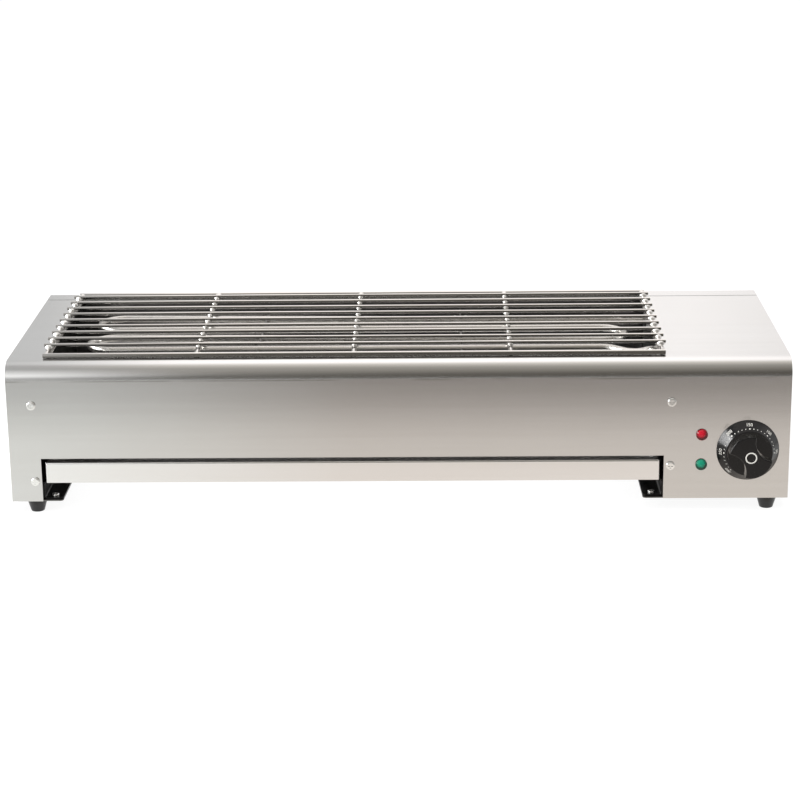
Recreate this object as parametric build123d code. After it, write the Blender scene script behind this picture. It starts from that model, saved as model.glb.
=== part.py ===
from build123d import *
import os

# Electric skewer grill: a low stainless housing, a W-shaped heating tube under a lift-off grate,
# a drip tray that pulls out at the front, and a control box at the right with a dial and two lamps.
# Millimetres. X runs along the housing, Y from its front to its back, Z up from the table.
# The origin is on the table, under the middle of the whole grill with its dial and its cable gland.

# Housing
body_width = 700.0
body_depth = 256.0
body_height = 129.0
sheet = 1.0
front_bend = 15.5
rear_bend = 2.5
fold = 1.6
end_flange = 12.0
flange_gap = 1.5
leg_width = 28.0
control_box_width = 112.0
seam_from_rear = 22.5
seam_gap = 1.2

# Cut-outs of the shell
top_opening_from_front = 26.0
top_opening_from_rear = 30.0
top_opening_from_left_wall = 9.0
top_opening_from_right_wall = 4.0
fascia_top_gap = 4.0

# Fire box
wall_screw_inset = 5.5
left_screw_from_base = 19.0
right_screw_from_base = 31.0
wall_screw_from_top = 38.5
shield_flange = 18.0
front_shield_flange = 8.5
shield_above_drawer = 2.5

# Screws: shank radius, head radius, head height
panel_screw = (2.0, 4.0, 2.2)
small_screw = (1.5, 3.2, 1.8)
thermostat_screw = (2.0, 3.5, 2.0)
screw_grip = 7.0
screw_hole_clearance = 0.2
screw_head_round = 0.55
screw_recess_width = 0.24
screw_recess_length = 1.1
screw_end = 1.0

# Feet
foot_height = 12.0
foot_top_radius = 9.5
foot_bottom_radius = 6.0
foot_edge = 0.8
foot_from_left = 20.7
foot_from_right = 17.5
foot_from_front = 11.5
foot_socket_radius = 3.6
foot_socket_depth = 5.0
foot_nut_flats = 7.0
foot_nut_height = 3.0

# Drip tray and its rails
rail_height = 17.3
rail_sheet = 1.2
rail_width = 18.0
rail_front_gap = 3.0
rail_corner_radius = 3.0
rail_screw_from_end = 7.0
rail_screw_grip = 5.2
tray_side_gap = 3.5
tray_ride_gap = 0.2
fascia_height = 19.0
fascia_recess = 0.5
fascia_return = 9.0
tray_rear_gap = 9.5
tray_sheet = 0.8
tray_corner_radius = 6.0
tray_hem = 2.4
tray_hem_height = 4.0

# Grate
grate_end_overlap = 3.0
grate_front_overlap = 6.5
grate_rear_overlap = 14.5
grate_rest_gap = 0.2
frame_rod_radius = 2.3
bar_radius = 1.6
bar_count = 9
bar_overhang = 4.5
inner_rod_count = 3
inner_rod_pitch = 141.0

# Heating tube
tube_radius = 3.5
tube_drop = 11.0
tube_from_left_wall = 33.5
tube_from_right_wall = 26.5
first_arm_from_opening = 58.0
last_arm_from_opening = 35.5
arm_slant = 9.25
u_bend_share = 0.485
entry_shift = 8.0
entry_dip = 20.0
entry_dip_from_wall = 23.0
entry_turn_from_wall = 6.0
entry_bend_start = 45.0
entry_bends = (10.5, 12.0, 18.0)
tube_into_box = 24.0
support_from_wall = 192.0
support_spacing = 188.0
support_thickness = 1.5
support_depth = 14.0
support_lip = 1.0
support_tab = 10.0
support_clearance = 0.15
rivet_radius = 2.2
rivet_height = 1.2
rivet_shank_radius = 1.1
rivet_round = 0.7

# Tube ends
bushing_radius = 6.0
bushing_flange_radius = 8.5
bushing_flange = 2.0
bushing_length = 13.0
bushing_clearance = 0.1
bushing_bore_clearance = 0.05
nut_flats = 15.0
nut_height = 4.0
insulator_radius = 4.2
insulator_length = 7.0
insulator_round = 1.2
terminal_pin_radius = 1.5
terminal_pin_length = 18.0
terminal_nut_flats = 6.0
terminal_nut_height = 3.0

# Dial and thermostat
knob_from_right = 38.0
knob_height = 47.0
knob_reach = 29.0
knob_panel_gap = 4.4
skirt_radius = 27.9
skirt_rim = 1.1
skirt_edge = 0.4
scale_cone_radius = 20.7
scale_cone_depth = 10.5
boss_radius = 19.2
grip_half_width = 8.0
grip_turn = 33.0
scoop_radius = 18.0
scoop_floor = 17.0
grip_edge = 0.8
knob_recess_radius = 19.5
knob_recess_depth = 3.0
knob_hub_radius = 6.0
shaft_radius = 3.0
shaft_flat = 2.4
shaft_flat_start = 1.0
shaft_in_knob = 14.0
shaft_in_body = 18.0
shaft_running_gap = 0.06
shaft_end_gap = 0.5
shaft_hole_radius = 5.0
thermostat_width = 36.0
thermostat_depth = 24.0
thermostat_height = 34.0
thermostat_round = 2.0
thermostat_screw_spacing = 28.0
diaphragm_radius = 14.0
diaphragm_depth = 8.0
blade_width = 6.3
blade_length = 9.0
blade_thickness = 0.8
blade_spacing = 16.0
blade_from_top = 2.0

# Sensor of the thermostat
capillary_radius = 0.9
capillary_bend = 10.0
capillary_loop = 30.0
bulb_radius = 3.0
bulb_length = 90.0
bulb_round = 1.4
bulb_from_wall = 30.0
bulb_below_tube = 38.0
bulb_clip_foot = 9.0
bulb_stand_off = 5.0
clip_wall = 0.8
clip_width = 8.0
clip_clearance = 0.05
capillary_hole_radius = 2.0

# Pilot lamps
pilot_from_knob = 40.5
pilot_spacing = 28.0
pilot_height = 46.0
lens_radius = 5.25
lens_neck_radius = 4.0
lens_dome = 2.6
lens_step = 0.2
lens_flange = 1.2
lamp_radius = 4.6
lamp_length = 22.0
lamp_round = 1.5
lamp_clearance = 0.1
push_nut_radius = 7.5

# Terminal block, leads and earth
block_length = 36.0
block_width = 20.0
block_height = 15.0
block_from_rear = 62.0
block_poles = 3
block_chamfer = 3.0
block_screw_depth = 4.0
block_screw_radius = 2.2
block_screw_height = 2.5
block_well_radius = 2.4
block_slot_width = 0.8
block_slot_depth = 1.6
lead_radius = 1.2
lead_bend = 9.0
lead_run = 26.0
earth_stud_radius = 2.0
earth_stud_length = 14.0
earth_from_wall = 16.0
earth_from_rear = 34.0
earth_nut_flats = 7.0
earth_nut_height = 3.2
earth_nut_gap = 0.8
vent_rows = 7
vent_pitch = 9.0
vent_length = 46.0
vent_width = 4.0

# Cable gland
gland_from_right = 38.0
gland_height = 36.0
gland_reach = 29.0
gland_bore = 4.0
gland_thread_radius = 6.2
gland_inside = 9.0
gland_flange = 5.0
gland_flats = 17.0
gland_thread_out = 9.0
gland_nose_radius = 6.0
gland_clearance = 0.05
gland_cap_gap = 0.2
gland_cap_grip = 8.0
gland_locknut_height = 4.0

# Places that follow from the sizes
left_x = -body_width / 2
right_x = body_width / 2
front_y = (knob_reach - gland_reach - body_depth) / 2
rear_y = front_y + body_depth
base_z = foot_height
top_z = base_z + body_height
front_in = front_y + sheet
rear_in = rear_y - sheet
under_top = top_z - sheet
plate_top = base_z + sheet
seam_y = rear_y - seam_from_rear
left_wall_x = left_x + leg_width
right_wall_x = right_x - control_box_width
opening_front_y = front_y + top_opening_from_front
opening_rear_y = rear_y - top_opening_from_rear
opening_left_x = left_wall_x + top_opening_from_left_wall
opening_right_x = right_wall_x - top_opening_from_right_wall
drawer_opening_height = rail_height + tray_ride_gap + fascia_height + fascia_top_gap
shield_low_z = base_z + drawer_opening_height + shield_above_drawer
wall_flange = leg_width - end_flange - sheet / 2 - flange_gap
grate_left_x = opening_left_x - grate_end_overlap
grate_right_x = opening_right_x + grate_end_overlap
grate_front_y = opening_front_y - grate_front_overlap
grate_rear_y = opening_rear_y + grate_rear_overlap
support_places = [left_wall_x + support_from_wall, left_wall_x + support_from_wall + support_spacing]
tube_z = top_z - tube_drop
knob_x = right_x - knob_from_right
knob_z = base_z + knob_height
pilot_x = knob_x - pilot_from_knob
gland_x = right_x - gland_from_right
gland_z = base_z + gland_height
rail_top_z = base_z + rail_height
tray_z = rail_top_z + tray_ride_gap
fascia_y = front_y + fascia_recess
pan_y = fascia_y + sheet
base_align = (Align.CENTER, Align.CENTER, Align.MIN)

to_front = (0, -1, 0)
to_rear = (0, 1, 0)
to_right = (1, 0, 0)
upwards = (0, 0, 1)
downwards = (0, 0, -1)


# Shapes used again and again
def block(x, y, z):
    """Box between two values on each axis."""
    size = Box(x[1] - x[0], y[1] - y[0], z[1] - z[0])
    return Pos((x[0] + x[1]) / 2, (y[0] + y[1]) / 2, (z[0] + z[1]) / 2) * size


def rod(start, end, radius):
    """Round bar from one point to another."""
    along = Vector(end) - Vector(start)
    return Plane(origin=start, z_dir=along).location * Cylinder(radius, along.length, align=base_align)


def stand(shape, point, outward, across=None):
    """Shape drawn upright at the origin, stood on a point with its Z axis pointing outward."""
    plane = Plane(origin=point, x_dir=across, z_dir=outward)
    return plane.location * shape


def along_x(x_start):
    """Plane for an outline drawn as (Y, Z) and pulled towards +X."""
    return Plane.YZ.offset(x_start)


def along_y(y_end):
    """Plane for an outline drawn as (X, Z) and pulled towards -Y."""
    return Plane.XZ.offset(-y_end)


def along_z(z_start):
    """Plane for an outline drawn as (X, Y) and pulled towards +Z."""
    return Plane.XY.offset(z_start)


def folded_sheet(points, length, plane, bend=fold, thickness=sheet):
    """Folded strip of sheet: `points` are its middle line, `bend` the outer radius of its folds."""
    middle = FilletPolyline(*points, radius=bend - thickness / 2)
    return extrude(plane * trace(middle, line_width=thickness), length)


def pan_screw(point, outward, size, grip=screw_grip):
    """Pan head with a cross recess, and its shank behind the point."""
    shank_radius, head_radius, head_height = size
    head = Cylinder(head_radius, head_height, align=base_align)
    head = fillet(head.edges().group_by(Axis.Z)[-1], head_height * screw_head_round)
    slot_width = head_radius * screw_recess_width
    slot_length = head_radius * screw_recess_length
    for length, width in ((slot_length, slot_width), (slot_width, slot_length)):
        head -= Pos(0, 0, head_height) * Box(length, width, head_height)
    shank = Pos(0, 0, -grip) * Cylinder(shank_radius, grip, align=base_align)
    return stand(head + shank, point, outward)


def hex_nut(point, outward, flats, height, hole_radius):
    """Hexagon nut standing on a point."""
    outline = RegularPolygon(flats / 2, 6, major_radius=False) - Circle(hole_radius)
    return stand(extrude(outline, height), point, outward)


def swept_round(points, bends, radius):
    """Round wire or tube along straight runs joined by tangent arcs."""
    path = FilletPolyline(*points, radius=bends)
    section = Plane(origin=path @ 0, z_dir=path % 0) * Circle(radius)
    return sweep(section, path=path)


def wall_screw_places(face_y):
    """Points of the four screws that hold the inner walls' flanges to a long panel."""
    left = left_wall_x - sheet / 2 - wall_screw_inset
    right = right_wall_x + sheet / 2 + wall_screw_inset
    high = top_z - wall_screw_from_top
    places = []
    for x, low in ((left, base_z + left_screw_from_base), (right, base_z + right_screw_from_base)):
        places += [(x, face_y, low), (x, face_y, high)]
    return places


def foot_places():
    """Names and middles of the four feet."""
    front = front_y + foot_from_front
    rear = rear_y - foot_from_front
    left = left_x + foot_from_left
    right = right_x - foot_from_right
    return {
        "front_left_foot": (left, front),
        "front_right_foot": (right, front),
        "rear_left_foot": (left, rear),
        "rear_right_foot": (right, rear),
    }


def hole_through(point, radius, reach=6.0):
    """Drill along Y through a panel near a point."""
    x, y, z = point
    return rod((x, y - reach, z), (x, y + reach, z), radius)


# Housing sheets
def front_top_shell():
    """Front panel, rounded edge and top in one folded sheet, with all its cut-outs."""
    middle_y = front_y + sheet / 2
    middle_z = top_z - sheet / 2
    outline = [(middle_y, base_z), (middle_y, middle_z), (seam_y - seam_gap / 2, middle_z)]
    shell = folded_sheet(outline, body_width, along_x(left_x), bend=front_bend)
    shell -= block(
        (opening_left_x, opening_right_x),
        (opening_front_y, opening_rear_y),
        (under_top - sheet, top_z + sheet),
    )
    shell -= block(
        (left_wall_x, right_wall_x),
        (front_y - sheet, front_in + sheet),
        (base_z - sheet, base_z + drawer_opening_height),
    )
    screw_hole = panel_screw[0] + screw_hole_clearance
    for point in wall_screw_places(front_y):
        shell -= hole_through(point, screw_hole)
    for point in thermostat_screw_places():
        shell -= hole_through(point, screw_hole)
    for point in lamp_places():
        shell -= hole_through(point, lens_neck_radius + lamp_clearance)
    shell -= hole_through((knob_x, front_y, knob_z), shaft_hole_radius)
    return shell


def rear_cover():
    """Back panel with the strip of the top that lies behind the seam."""
    middle_y = rear_y - sheet / 2
    middle_z = top_z - sheet / 2
    outline = [(middle_y, base_z), (middle_y, middle_z), (seam_y + seam_gap / 2, middle_z)]
    cover = folded_sheet(outline, body_width, along_x(left_x), bend=rear_bend)
    for point in wall_screw_places(rear_y):
        cover -= hole_through(point, panel_screw[0] + screw_hole_clearance)
    cover -= hole_through((gland_x, rear_y, gland_z), gland_thread_radius + gland_clearance)
    return cover


def housing_section(shrink=0.0):
    """Inside outline of the housing seen from its end, rounded like the shell's bends."""
    low, high = plate_top + shrink, under_top - shrink
    front, rear = front_in + shrink, rear_in - shrink
    front_radius = front_bend - sheet - shrink
    rear_radius = rear_bend - sheet
    outline = Polyline((front, low), (rear, low), (rear, high), (front, high), close=True)
    face = make_face(outline)
    rounded = fillet(face.vertices().group_by(Axis.Y)[-1].sort_by(Axis.X)[0], front_radius)
    return fillet(rounded.vertices().group_by(Axis.Y)[-1].sort_by(Axis.X)[-1], rear_radius)


def end_panel(outer_x, inward):
    """End of the housing: a shallow pan whose rim lies against the other sheets."""
    pan = extrude(along_x(outer_x) * housing_section(), inward * end_flange)
    pan -= extrude(along_x(outer_x + inward * sheet) * housing_section(sheet), inward * end_flange)
    hole = small_screw[0] + screw_hole_clearance
    for x, y in base_screw_places():
        pan -= rod((x, y, base_z), (x, y, plate_top + 2 * sheet), hole)
    return pan


def inner_wall(face_x, outward):
    """Side wall of the fire box with two flanges that take the screws of the long panels."""
    web_x = face_x + outward * sheet / 2
    tip_x = web_x + outward * wall_flange
    front, rear = front_in + sheet / 2, rear_in - sheet / 2
    outline = [(tip_x, front), (web_x, front), (web_x, rear), (tip_x, rear)]
    wall = folded_sheet(outline, under_top - plate_top, along_z(plate_top))
    flange_top = top_z - front_bend - sheet
    flange_side = sorted((web_x + outward * sheet / 2, tip_x + outward * sheet))
    wall -= block(flange_side, (front_y, rear_y), (flange_top, top_z))
    wall = wall & extrude(along_x(left_x) * housing_section(), body_width)
    hole = panel_screw[0] + screw_hole_clearance
    for face_y in (front_y, rear_y):
        for point in wall_screw_places(face_y):
            wall -= hole_through(point, hole)
    if outward > 0:
        for y in tube_end_places():
            start, end = (face_x - sheet, y, tube_z), (face_x + 2 * sheet, y, tube_z)
            wall -= rod(start, end, bushing_radius + bushing_clearance)
        y, z = bulb_axis()
        wall -= rod((face_x - sheet, y, z), (face_x + 2 * sheet, y, z), capillary_hole_radius)
    return wall


def heat_shield(face_y, outward, top_reach, panel_y):
    """Long wall of the fire box: folded outward at its top, and at its bottom as far as the panel."""
    web_y = face_y + outward * sheet / 2
    high, low = under_top - sheet / 2, shield_low_z + sheet / 2
    outline = [(web_y + outward * top_reach, high), (web_y, high), (web_y, low), (panel_y, low)]
    shield = folded_sheet(outline, right_wall_x - left_wall_x, along_x(left_wall_x))
    for x, z in rivet_places():
        shield -= rod((x, face_y - 2 * sheet, z), (x, face_y + 2 * sheet, z), rivet_shank_radius)
    return shield


def leg_plate(low_x, high_x, inner_side):
    """Bottom plate under one end of the housing; it reaches inward to carry a tray rail."""
    plate = block((low_x, high_x), (front_in, rear_in), (base_z, plate_top))
    inner_x = high_x if inner_side > 0 else low_x
    corner = plate.edges().filter_by(Axis.Z).sort_by_distance((inner_x, front_in, base_z))[0]
    return fillet(corner, rail_corner_radius)


def screw_holes(plate):
    """The same bottom plate with a hole for each screw that passes it."""
    for x, y in list(foot_places().values()) + base_screw_places() + rail_screw_places():
        start, end = (x, y, base_z - sheet), (x, y, plate_top + sheet)
        plate -= rod(start, end, small_screw[0] + screw_hole_clearance)
    return plate


def left_leg_base():
    """Bottom plate of the left leg."""
    return screw_holes(leg_plate(left_x + sheet, left_wall_x + rail_width, 1))


def control_box_base():
    """Bottom plate of the control box, slotted so that the box can breathe."""
    plate = screw_holes(leg_plate(right_wall_x - rail_width, right_x - sheet, -1))
    middle_x = (right_wall_x + right_x) / 2
    for row in range(vent_rows):
        y = front_y + body_depth / 2 + (row - (vent_rows - 1) / 2) * vent_pitch
        slot = Pos(middle_x, y, base_z - sheet) * SlotOverall(vent_length, vent_width)
        plate -= extrude(slot, 3 * sheet)
    return plate


def tray_rail(wall_x, inward):
    """Channel that carries one side of the drip tray, open towards the tray's middle."""
    back = wall_x + inward * rail_sheet / 2
    tip = wall_x + inward * rail_width
    low, high = plate_top + rail_sheet / 2, rail_top_z - rail_sheet / 2
    rear_end, front_end = rear_in - end_flange, front_in + rail_front_gap
    outline = [(tip, high), (back, high), (back, low), (tip, low)]
    bend = fold + rail_sheet
    rail = folded_sheet(outline, rear_end - front_end, along_y(rear_end), bend, rail_sheet)
    corner_edges = [
        edge
        for edge in rail.edges().filter_by(Axis.Z)
        if abs(edge.center().X - tip) < rail_sheet / 2 and abs(edge.center().Y - front_end) < rail_sheet / 2
    ]
    rail = fillet(corner_edges, rail_corner_radius)
    for x, y in rail_screw_places():
        hole = small_screw[0] + screw_hole_clearance
        rail -= rod((x, y, plate_top - sheet), (x, y, plate_top + 2 * rail_sheet), hole)
    return rail


def base_screw_places():
    """Screws from below into the end panels' rims."""
    inset = sheet + (end_flange - sheet) / 2
    quarter = body_depth / 4
    return [(x, y) for x in (left_x + inset, right_x - inset) for y in (front_y + quarter, rear_y - quarter)]


def rail_screw_places():
    """Screws down through the rails' lower flanges into the bottom plates."""
    inset = rail_width / 2 + rail_sheet / 2
    front = front_in + rail_front_gap + rail_screw_from_end
    rear = rear_in - end_flange - rail_screw_from_end
    return [(x, y) for x in (left_wall_x + inset, right_wall_x - inset) for y in (front, rear)]


# Feet
def rubber_foot(x, y):
    """Tapered rubber foot with a socket for its screw's head."""
    foot = Pos(x, y, 0) * Cone(foot_bottom_radius, foot_top_radius, foot_height, align=base_align)
    foot = fillet(foot.edges().group_by(Axis.Z)[0], foot_edge)
    foot -= rod((x, y, -sheet), (x, y, foot_socket_depth), foot_socket_radius)
    foot -= rod((x, y, 0), (x, y, foot_height + sheet), small_screw[0] + screw_hole_clearance)
    return foot


def foot_screw(x, y):
    """Screw up through a foot and the bottom plate above it."""
    grip = foot_height - foot_socket_depth + sheet + foot_nut_height + screw_end
    return pan_screw((x, y, foot_socket_depth), downwards, small_screw, grip)


def foot_nut(x, y):
    """Nut on the end of a foot's screw."""
    return hex_nut((x, y, plate_top), upwards, foot_nut_flats, foot_nut_height, small_screw[0])


# Drip tray
def tray_span():
    """Left and right end of the tray, and its lowest and highest Z."""
    sides = (left_wall_x + tray_side_gap, right_wall_x - tray_side_gap)
    return sides, (tray_z, tray_z + fascia_height)


def tray_fascia():
    """Front of the tray, with its edges folded back along the top and both sides."""
    (low_x, high_x), (low_z, high_z) = tray_span()
    back_y = fascia_y + fascia_return
    face = block((low_x, high_x), (fascia_y, back_y), (low_z, high_z))
    face = fillet(face.edges().filter_by(Axis.X).group_by(Axis.Y)[0].sort_by(Axis.Z)[-1], fold)
    face = fillet(face.edges().filter_by(Axis.Z).group_by(Axis.Y)[0], fold)
    inside = block((low_x + sheet, high_x - sheet), (pan_y, back_y + sheet), (low_z - sheet, high_z - sheet))
    return face - inside


def tray_pan():
    """Shallow pan behind the fascia, with rounded corners and a hemmed rim."""
    (low_x, high_x), (low_z, high_z) = tray_span()
    low_x, high_x, high_z = low_x + sheet, high_x - sheet, high_z - sheet
    rear = rear_in - tray_rear_gap

    def hollow(wall, top):
        """Space inside the pan that leaves a wall of the given thickness."""
        space = block((low_x + wall, high_x - wall), (pan_y + wall, rear - wall), (low_z + tray_sheet, top))
        return fillet(space.edges().filter_by(Axis.Z), tray_corner_radius - tray_sheet)

    pan = block((low_x, high_x), (pan_y, rear), (low_z, high_z))
    pan = fillet(pan.edges().filter_by(Axis.Z).group_by(Axis.Y)[-1], tray_corner_radius)
    return pan - hollow(tray_hem, high_z + sheet) - hollow(tray_sheet, high_z - tray_hem_height)


# Grate
def grate_levels():
    """Heights of the frame rods' and of the bars' middles."""
    low = top_z + grate_rest_gap + frame_rod_radius
    return low, low + frame_rod_radius + bar_radius


def grate_frame():
    """The two long rods, which lie on the housing's top."""
    low, _ = grate_levels()
    start, end = grate_left_x - frame_rod_radius, grate_right_x + frame_rod_radius
    return [rod((start, y, low), (end, y, low), frame_rod_radius) for y in (grate_front_y, grate_rear_y)]


def cross_rod_places():
    """X of the cross rods: one at each end, the others at an even pitch about the grate's middle."""
    first = (grate_left_x + grate_right_x) / 2 - inner_rod_pitch * (inner_rod_count - 1) / 2
    inner = [first + inner_rod_pitch * n for n in range(inner_rod_count)]
    return [grate_left_x] + inner + [grate_right_x]


def grate_cross_rods():
    """Rods from front to rear between the two long ones."""
    low, _ = grate_levels()
    start, end = grate_front_y + frame_rod_radius, grate_rear_y - frame_rod_radius
    return [rod((x, start, low), (x, end, low), frame_rod_radius) for x in cross_rod_places()]


def grate_bars():
    """The bars that carry the skewers, welded on top of the cross rods at an even pitch."""
    _, high = grate_levels()
    start, end = grate_left_x - bar_overhang, grate_right_x + bar_overhang
    pitch = (grate_rear_y - grate_front_y) / (bar_count + 1)
    places = [grate_front_y + pitch * (n + 1) for n in range(bar_count)]
    return [rod((start, y, high), (end, y, high), bar_radius) for y in places]


# Heating tube and what holds it
def arm_places():
    """Mean Y of the tube's four arms."""
    first = opening_front_y + first_arm_from_opening
    last = opening_rear_y - last_arm_from_opening
    return [first + (last - first) / 3 * n for n in range(4)]


def tube_end_places():
    """Y of the tube's two ends where they pass the right inner wall."""
    arms = arm_places()
    return [arms[0] - entry_shift, arms[3] - arm_slant]


def tube_route():
    """Corners of the W-shaped route and the bend radius at each of them."""
    first, second, third, fourth = arm_places()
    front_end, rear_end = tube_end_places()
    box_x = right_wall_x + tube_into_box
    near_x, far_x = right_wall_x - tube_from_right_wall, left_wall_x + tube_from_left_wall
    turn_x, dip_x = right_wall_x - entry_turn_from_wall, right_wall_x - entry_dip_from_wall
    arm_end_x = right_wall_x - entry_bend_start
    points = [
        (box_x, front_end), (turn_x, front_end), (dip_x, first - entry_dip), (arm_end_x, first),
        (far_x, first), (far_x, second + arm_slant),
        (near_x, second - arm_slant), (near_x, third),
        (far_x, third), (far_x, fourth + arm_slant),
        (turn_x, rear_end), (box_x, rear_end),
    ]
    u_bend = (second + arm_slant - first) * u_bend_share
    bends = list(entry_bends) + [u_bend] * 6 + [entry_bends[-1]]
    return [(x, y, tube_z) for x, y in points], bends


def heating_tube():
    """The whole tube, bent from one length."""
    points, bends = tube_route()
    return swept_round(points, bends, tube_radius)


def arm_crossings(x):
    """Y of the four arms of the tube where they pass a plane at x."""
    first, second, third, fourth = arm_places()
    near_x, far_x = right_wall_x - tube_from_right_wall, left_wall_x + tube_from_left_wall
    turn_x = right_wall_x - entry_turn_from_wall
    second_y = second + arm_slant * (1 - 2 * (x - far_x) / (near_x - far_x))
    fourth_y = fourth + arm_slant * (1 - 2 * (x - far_x) / (turn_x - far_x))
    return [first, second_y, third, fourth_y]


def rivet_places():
    """X and Z of the rivets that hold the supports' tabs to a shield."""
    z = tube_z - support_depth / 2
    return [(x + side * support_tab / 2, z) for x in support_places for side in (-1, 1)]


def tube_support(x):
    """Notched strip across the fire box with a bent tab at each end."""
    front, rear = opening_front_y, opening_rear_y
    low, high = tube_z - support_depth, tube_z + support_lip
    tab_x = (x - support_tab, x + support_tab)
    strip = block((x - support_thickness / 2, x + support_thickness / 2), (front, rear), (low, high))
    for y in ((front, front + support_thickness), (rear - support_thickness, rear)):
        strip += block(tab_x, y, (low, tube_z - support_lip))
    slot_radius = tube_radius + support_clearance
    for y in arm_crossings(x):
        strip -= rod((tab_x[0], y, tube_z), (tab_x[1], y, tube_z), slot_radius)
        strip -= block(tab_x, (y - slot_radius, y + slot_radius), (tube_z, high + support_lip))
    for rivet_x, z in rivet_places():
        strip -= rod((rivet_x, front - sheet, z), (rivet_x, rear + sheet, z), rivet_shank_radius)
    return strip


def rivet(point, inward):
    """Blind rivet through a support's tab and the shield behind it."""
    head = Cylinder(rivet_radius, rivet_height, align=base_align)
    head = fillet(head.edges().group_by(Axis.Z)[-1], rivet_round)
    grip = support_thickness + sheet + rivet_height
    shank = Pos(0, 0, -grip) * Cylinder(rivet_shank_radius, grip, align=base_align)
    return stand(head + shank, point, inward)


def support_rivets():
    """One rivet through each tab of the two supports."""
    front, rear = opening_front_y + support_thickness, opening_rear_y - support_thickness
    rivets = []
    for x, z in rivet_places():
        rivets += [rivet((x, front, z), to_rear), rivet((x, rear, z), to_front)]
    return rivets


def tube_bushing(y):
    """Flanged bushing that carries one tube end in the right inner wall."""
    start, end = right_wall_x - bushing_flange, right_wall_x + bushing_length
    body = rod((right_wall_x, y, tube_z), (end, y, tube_z), bushing_radius)
    body += rod((start, y, tube_z), (right_wall_x, y, tube_z), bushing_flange_radius)
    return body - rod((start, y, tube_z), (end, y, tube_z), tube_radius + bushing_bore_clearance)


def tube_nut(y):
    """Nut that clamps a bushing to the wall from the control box."""
    return hex_nut((right_wall_x + sheet, y, tube_z), to_right, nut_flats, nut_height, bushing_radius)


def tube_insulator(y):
    """Ceramic bead at the tube's end."""
    start = right_wall_x + tube_into_box
    end = start + insulator_length
    bead = rod((start, y, tube_z), (end, y, tube_z), insulator_radius)
    bead = fillet(bead.edges().group_by(Axis.X)[-1], insulator_round)
    return bead - rod((start, y, tube_z), (end, y, tube_z), terminal_pin_radius)


def tube_pin(y):
    """Threaded terminal of the tube with its nut."""
    start = right_wall_x + tube_into_box
    pin = rod((start, y, tube_z), (start + terminal_pin_length, y, tube_z), terminal_pin_radius)
    nut_start = (start + insulator_length, y, tube_z)
    pitch_radius = terminal_pin_radius / 2
    return pin + hex_nut(nut_start, to_right, terminal_nut_flats, terminal_nut_height, pitch_radius)


def tube_pin_tip(y):
    """Point where a lead meets a terminal."""
    return (right_wall_x + tube_into_box + terminal_pin_length, y, tube_z)


# Dial and thermostat
def thermostat_screw_places():
    """Screws of the thermostat, which the dial's skirt hides."""
    half = thermostat_screw_spacing / 2
    return [(knob_x + side * half, front_y, knob_z) for side in (-1, 1)]


def dial_frame(shape):
    """Shape drawn with its Z axis out of the panel, stood on the dial's axis."""
    return stand(shape, (knob_x, front_y, knob_z), to_front, across=to_right)


def drawn_shaft():
    """Round shaft with the flat that drives the knob."""
    tip = knob_panel_gap + shaft_in_knob
    shaft = Pos(0, 0, -shaft_in_body) * Cylinder(shaft_radius, shaft_in_body + tip, align=base_align)
    flat_z = (knob_panel_gap + shaft_flat_start, tip + sheet)
    flat = block((-shaft_radius, shaft_radius), (shaft_flat, shaft_radius + sheet), flat_z)
    return shaft - flat


def thermostat_shaft():
    """The shaft where it sits in the housing."""
    return dial_frame(drawn_shaft())


def control_knob():
    """Dial with a cone for its scale and a round boss, scooped on both sides so that a grip is left."""
    cone_base = knob_panel_gap + skirt_rim
    boss_base = cone_base + scale_cone_depth
    skirt_base = Pos(0, 0, knob_panel_gap)
    skirt = skirt_base * Cylinder(skirt_radius, skirt_rim, align=base_align)
    skirt += Pos(0, 0, cone_base) * Cone(skirt_radius, scale_cone_radius, scale_cone_depth, align=base_align)
    circles = skirt.edges().filter_by(GeomType.CIRCLE)
    skirt = fillet([edge for edge in circles if edge.radius > skirt_radius - skirt_edge], skirt_edge)
    boss = Pos(0, 0, boss_base) * Cylinder(boss_radius, knob_reach - boss_base, align=base_align)
    for side in (-1, 1):
        scoop = Cylinder(scoop_radius, knob_reach, align=base_align)
        boss -= Rot(0, 0, grip_turn) * Pos(side * (grip_half_width + scoop_radius), 0, scoop_floor) * scoop
    boss = fillet(boss.faces().sort_by(Axis.Z)[-1].edges(), grip_edge)
    knob = skirt + boss - skirt_base * Cylinder(knob_recess_radius, knob_recess_depth, align=base_align)
    hub = skirt_base * Cylinder(knob_hub_radius, knob_recess_depth, align=base_align)
    return dial_frame(knob + hub - drawn_shaft())


def blade_places():
    """Tips of the two blade terminals near the thermostat's top."""
    z = knob_z + thermostat_height / 2 - blade_from_top
    y = front_in + thermostat_depth + blade_length
    return [(knob_x + side * blade_spacing / 2, y, z) for side in (-1, 1)]


def thermostat_body():
    """Switch housing behind the panel, with the diaphragm cup and two blade terminals."""
    half_x, half_z = thermostat_width / 2, thermostat_height / 2
    back_y = front_in + thermostat_depth
    body = block((knob_x - half_x, knob_x + half_x), (front_in, back_y), (knob_z - half_z, knob_z + half_z))
    body = fillet(body.edges().filter_by(Axis.Y), thermostat_round)
    body += rod((knob_x, back_y, knob_z), (knob_x, back_y + diaphragm_depth, knob_z), diaphragm_radius)
    for x, tip_y, z in blade_places():
        half_width, half_thickness = blade_width / 2, blade_thickness / 2
        reach_x, reach_z = (x - half_width, x + half_width), (z - half_thickness, z + half_thickness)
        body += block(reach_x, (back_y, tip_y), reach_z)
    bore_end = (knob_x, front_y + shaft_in_body + shaft_end_gap, knob_z)
    body -= rod((knob_x, front_y, knob_z), bore_end, shaft_radius + shaft_running_gap)
    for x, _, z in thermostat_screw_places():
        body -= rod((x, front_y, z), (x, front_y + screw_grip + screw_end, z), panel_screw[0])
    return body


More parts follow.
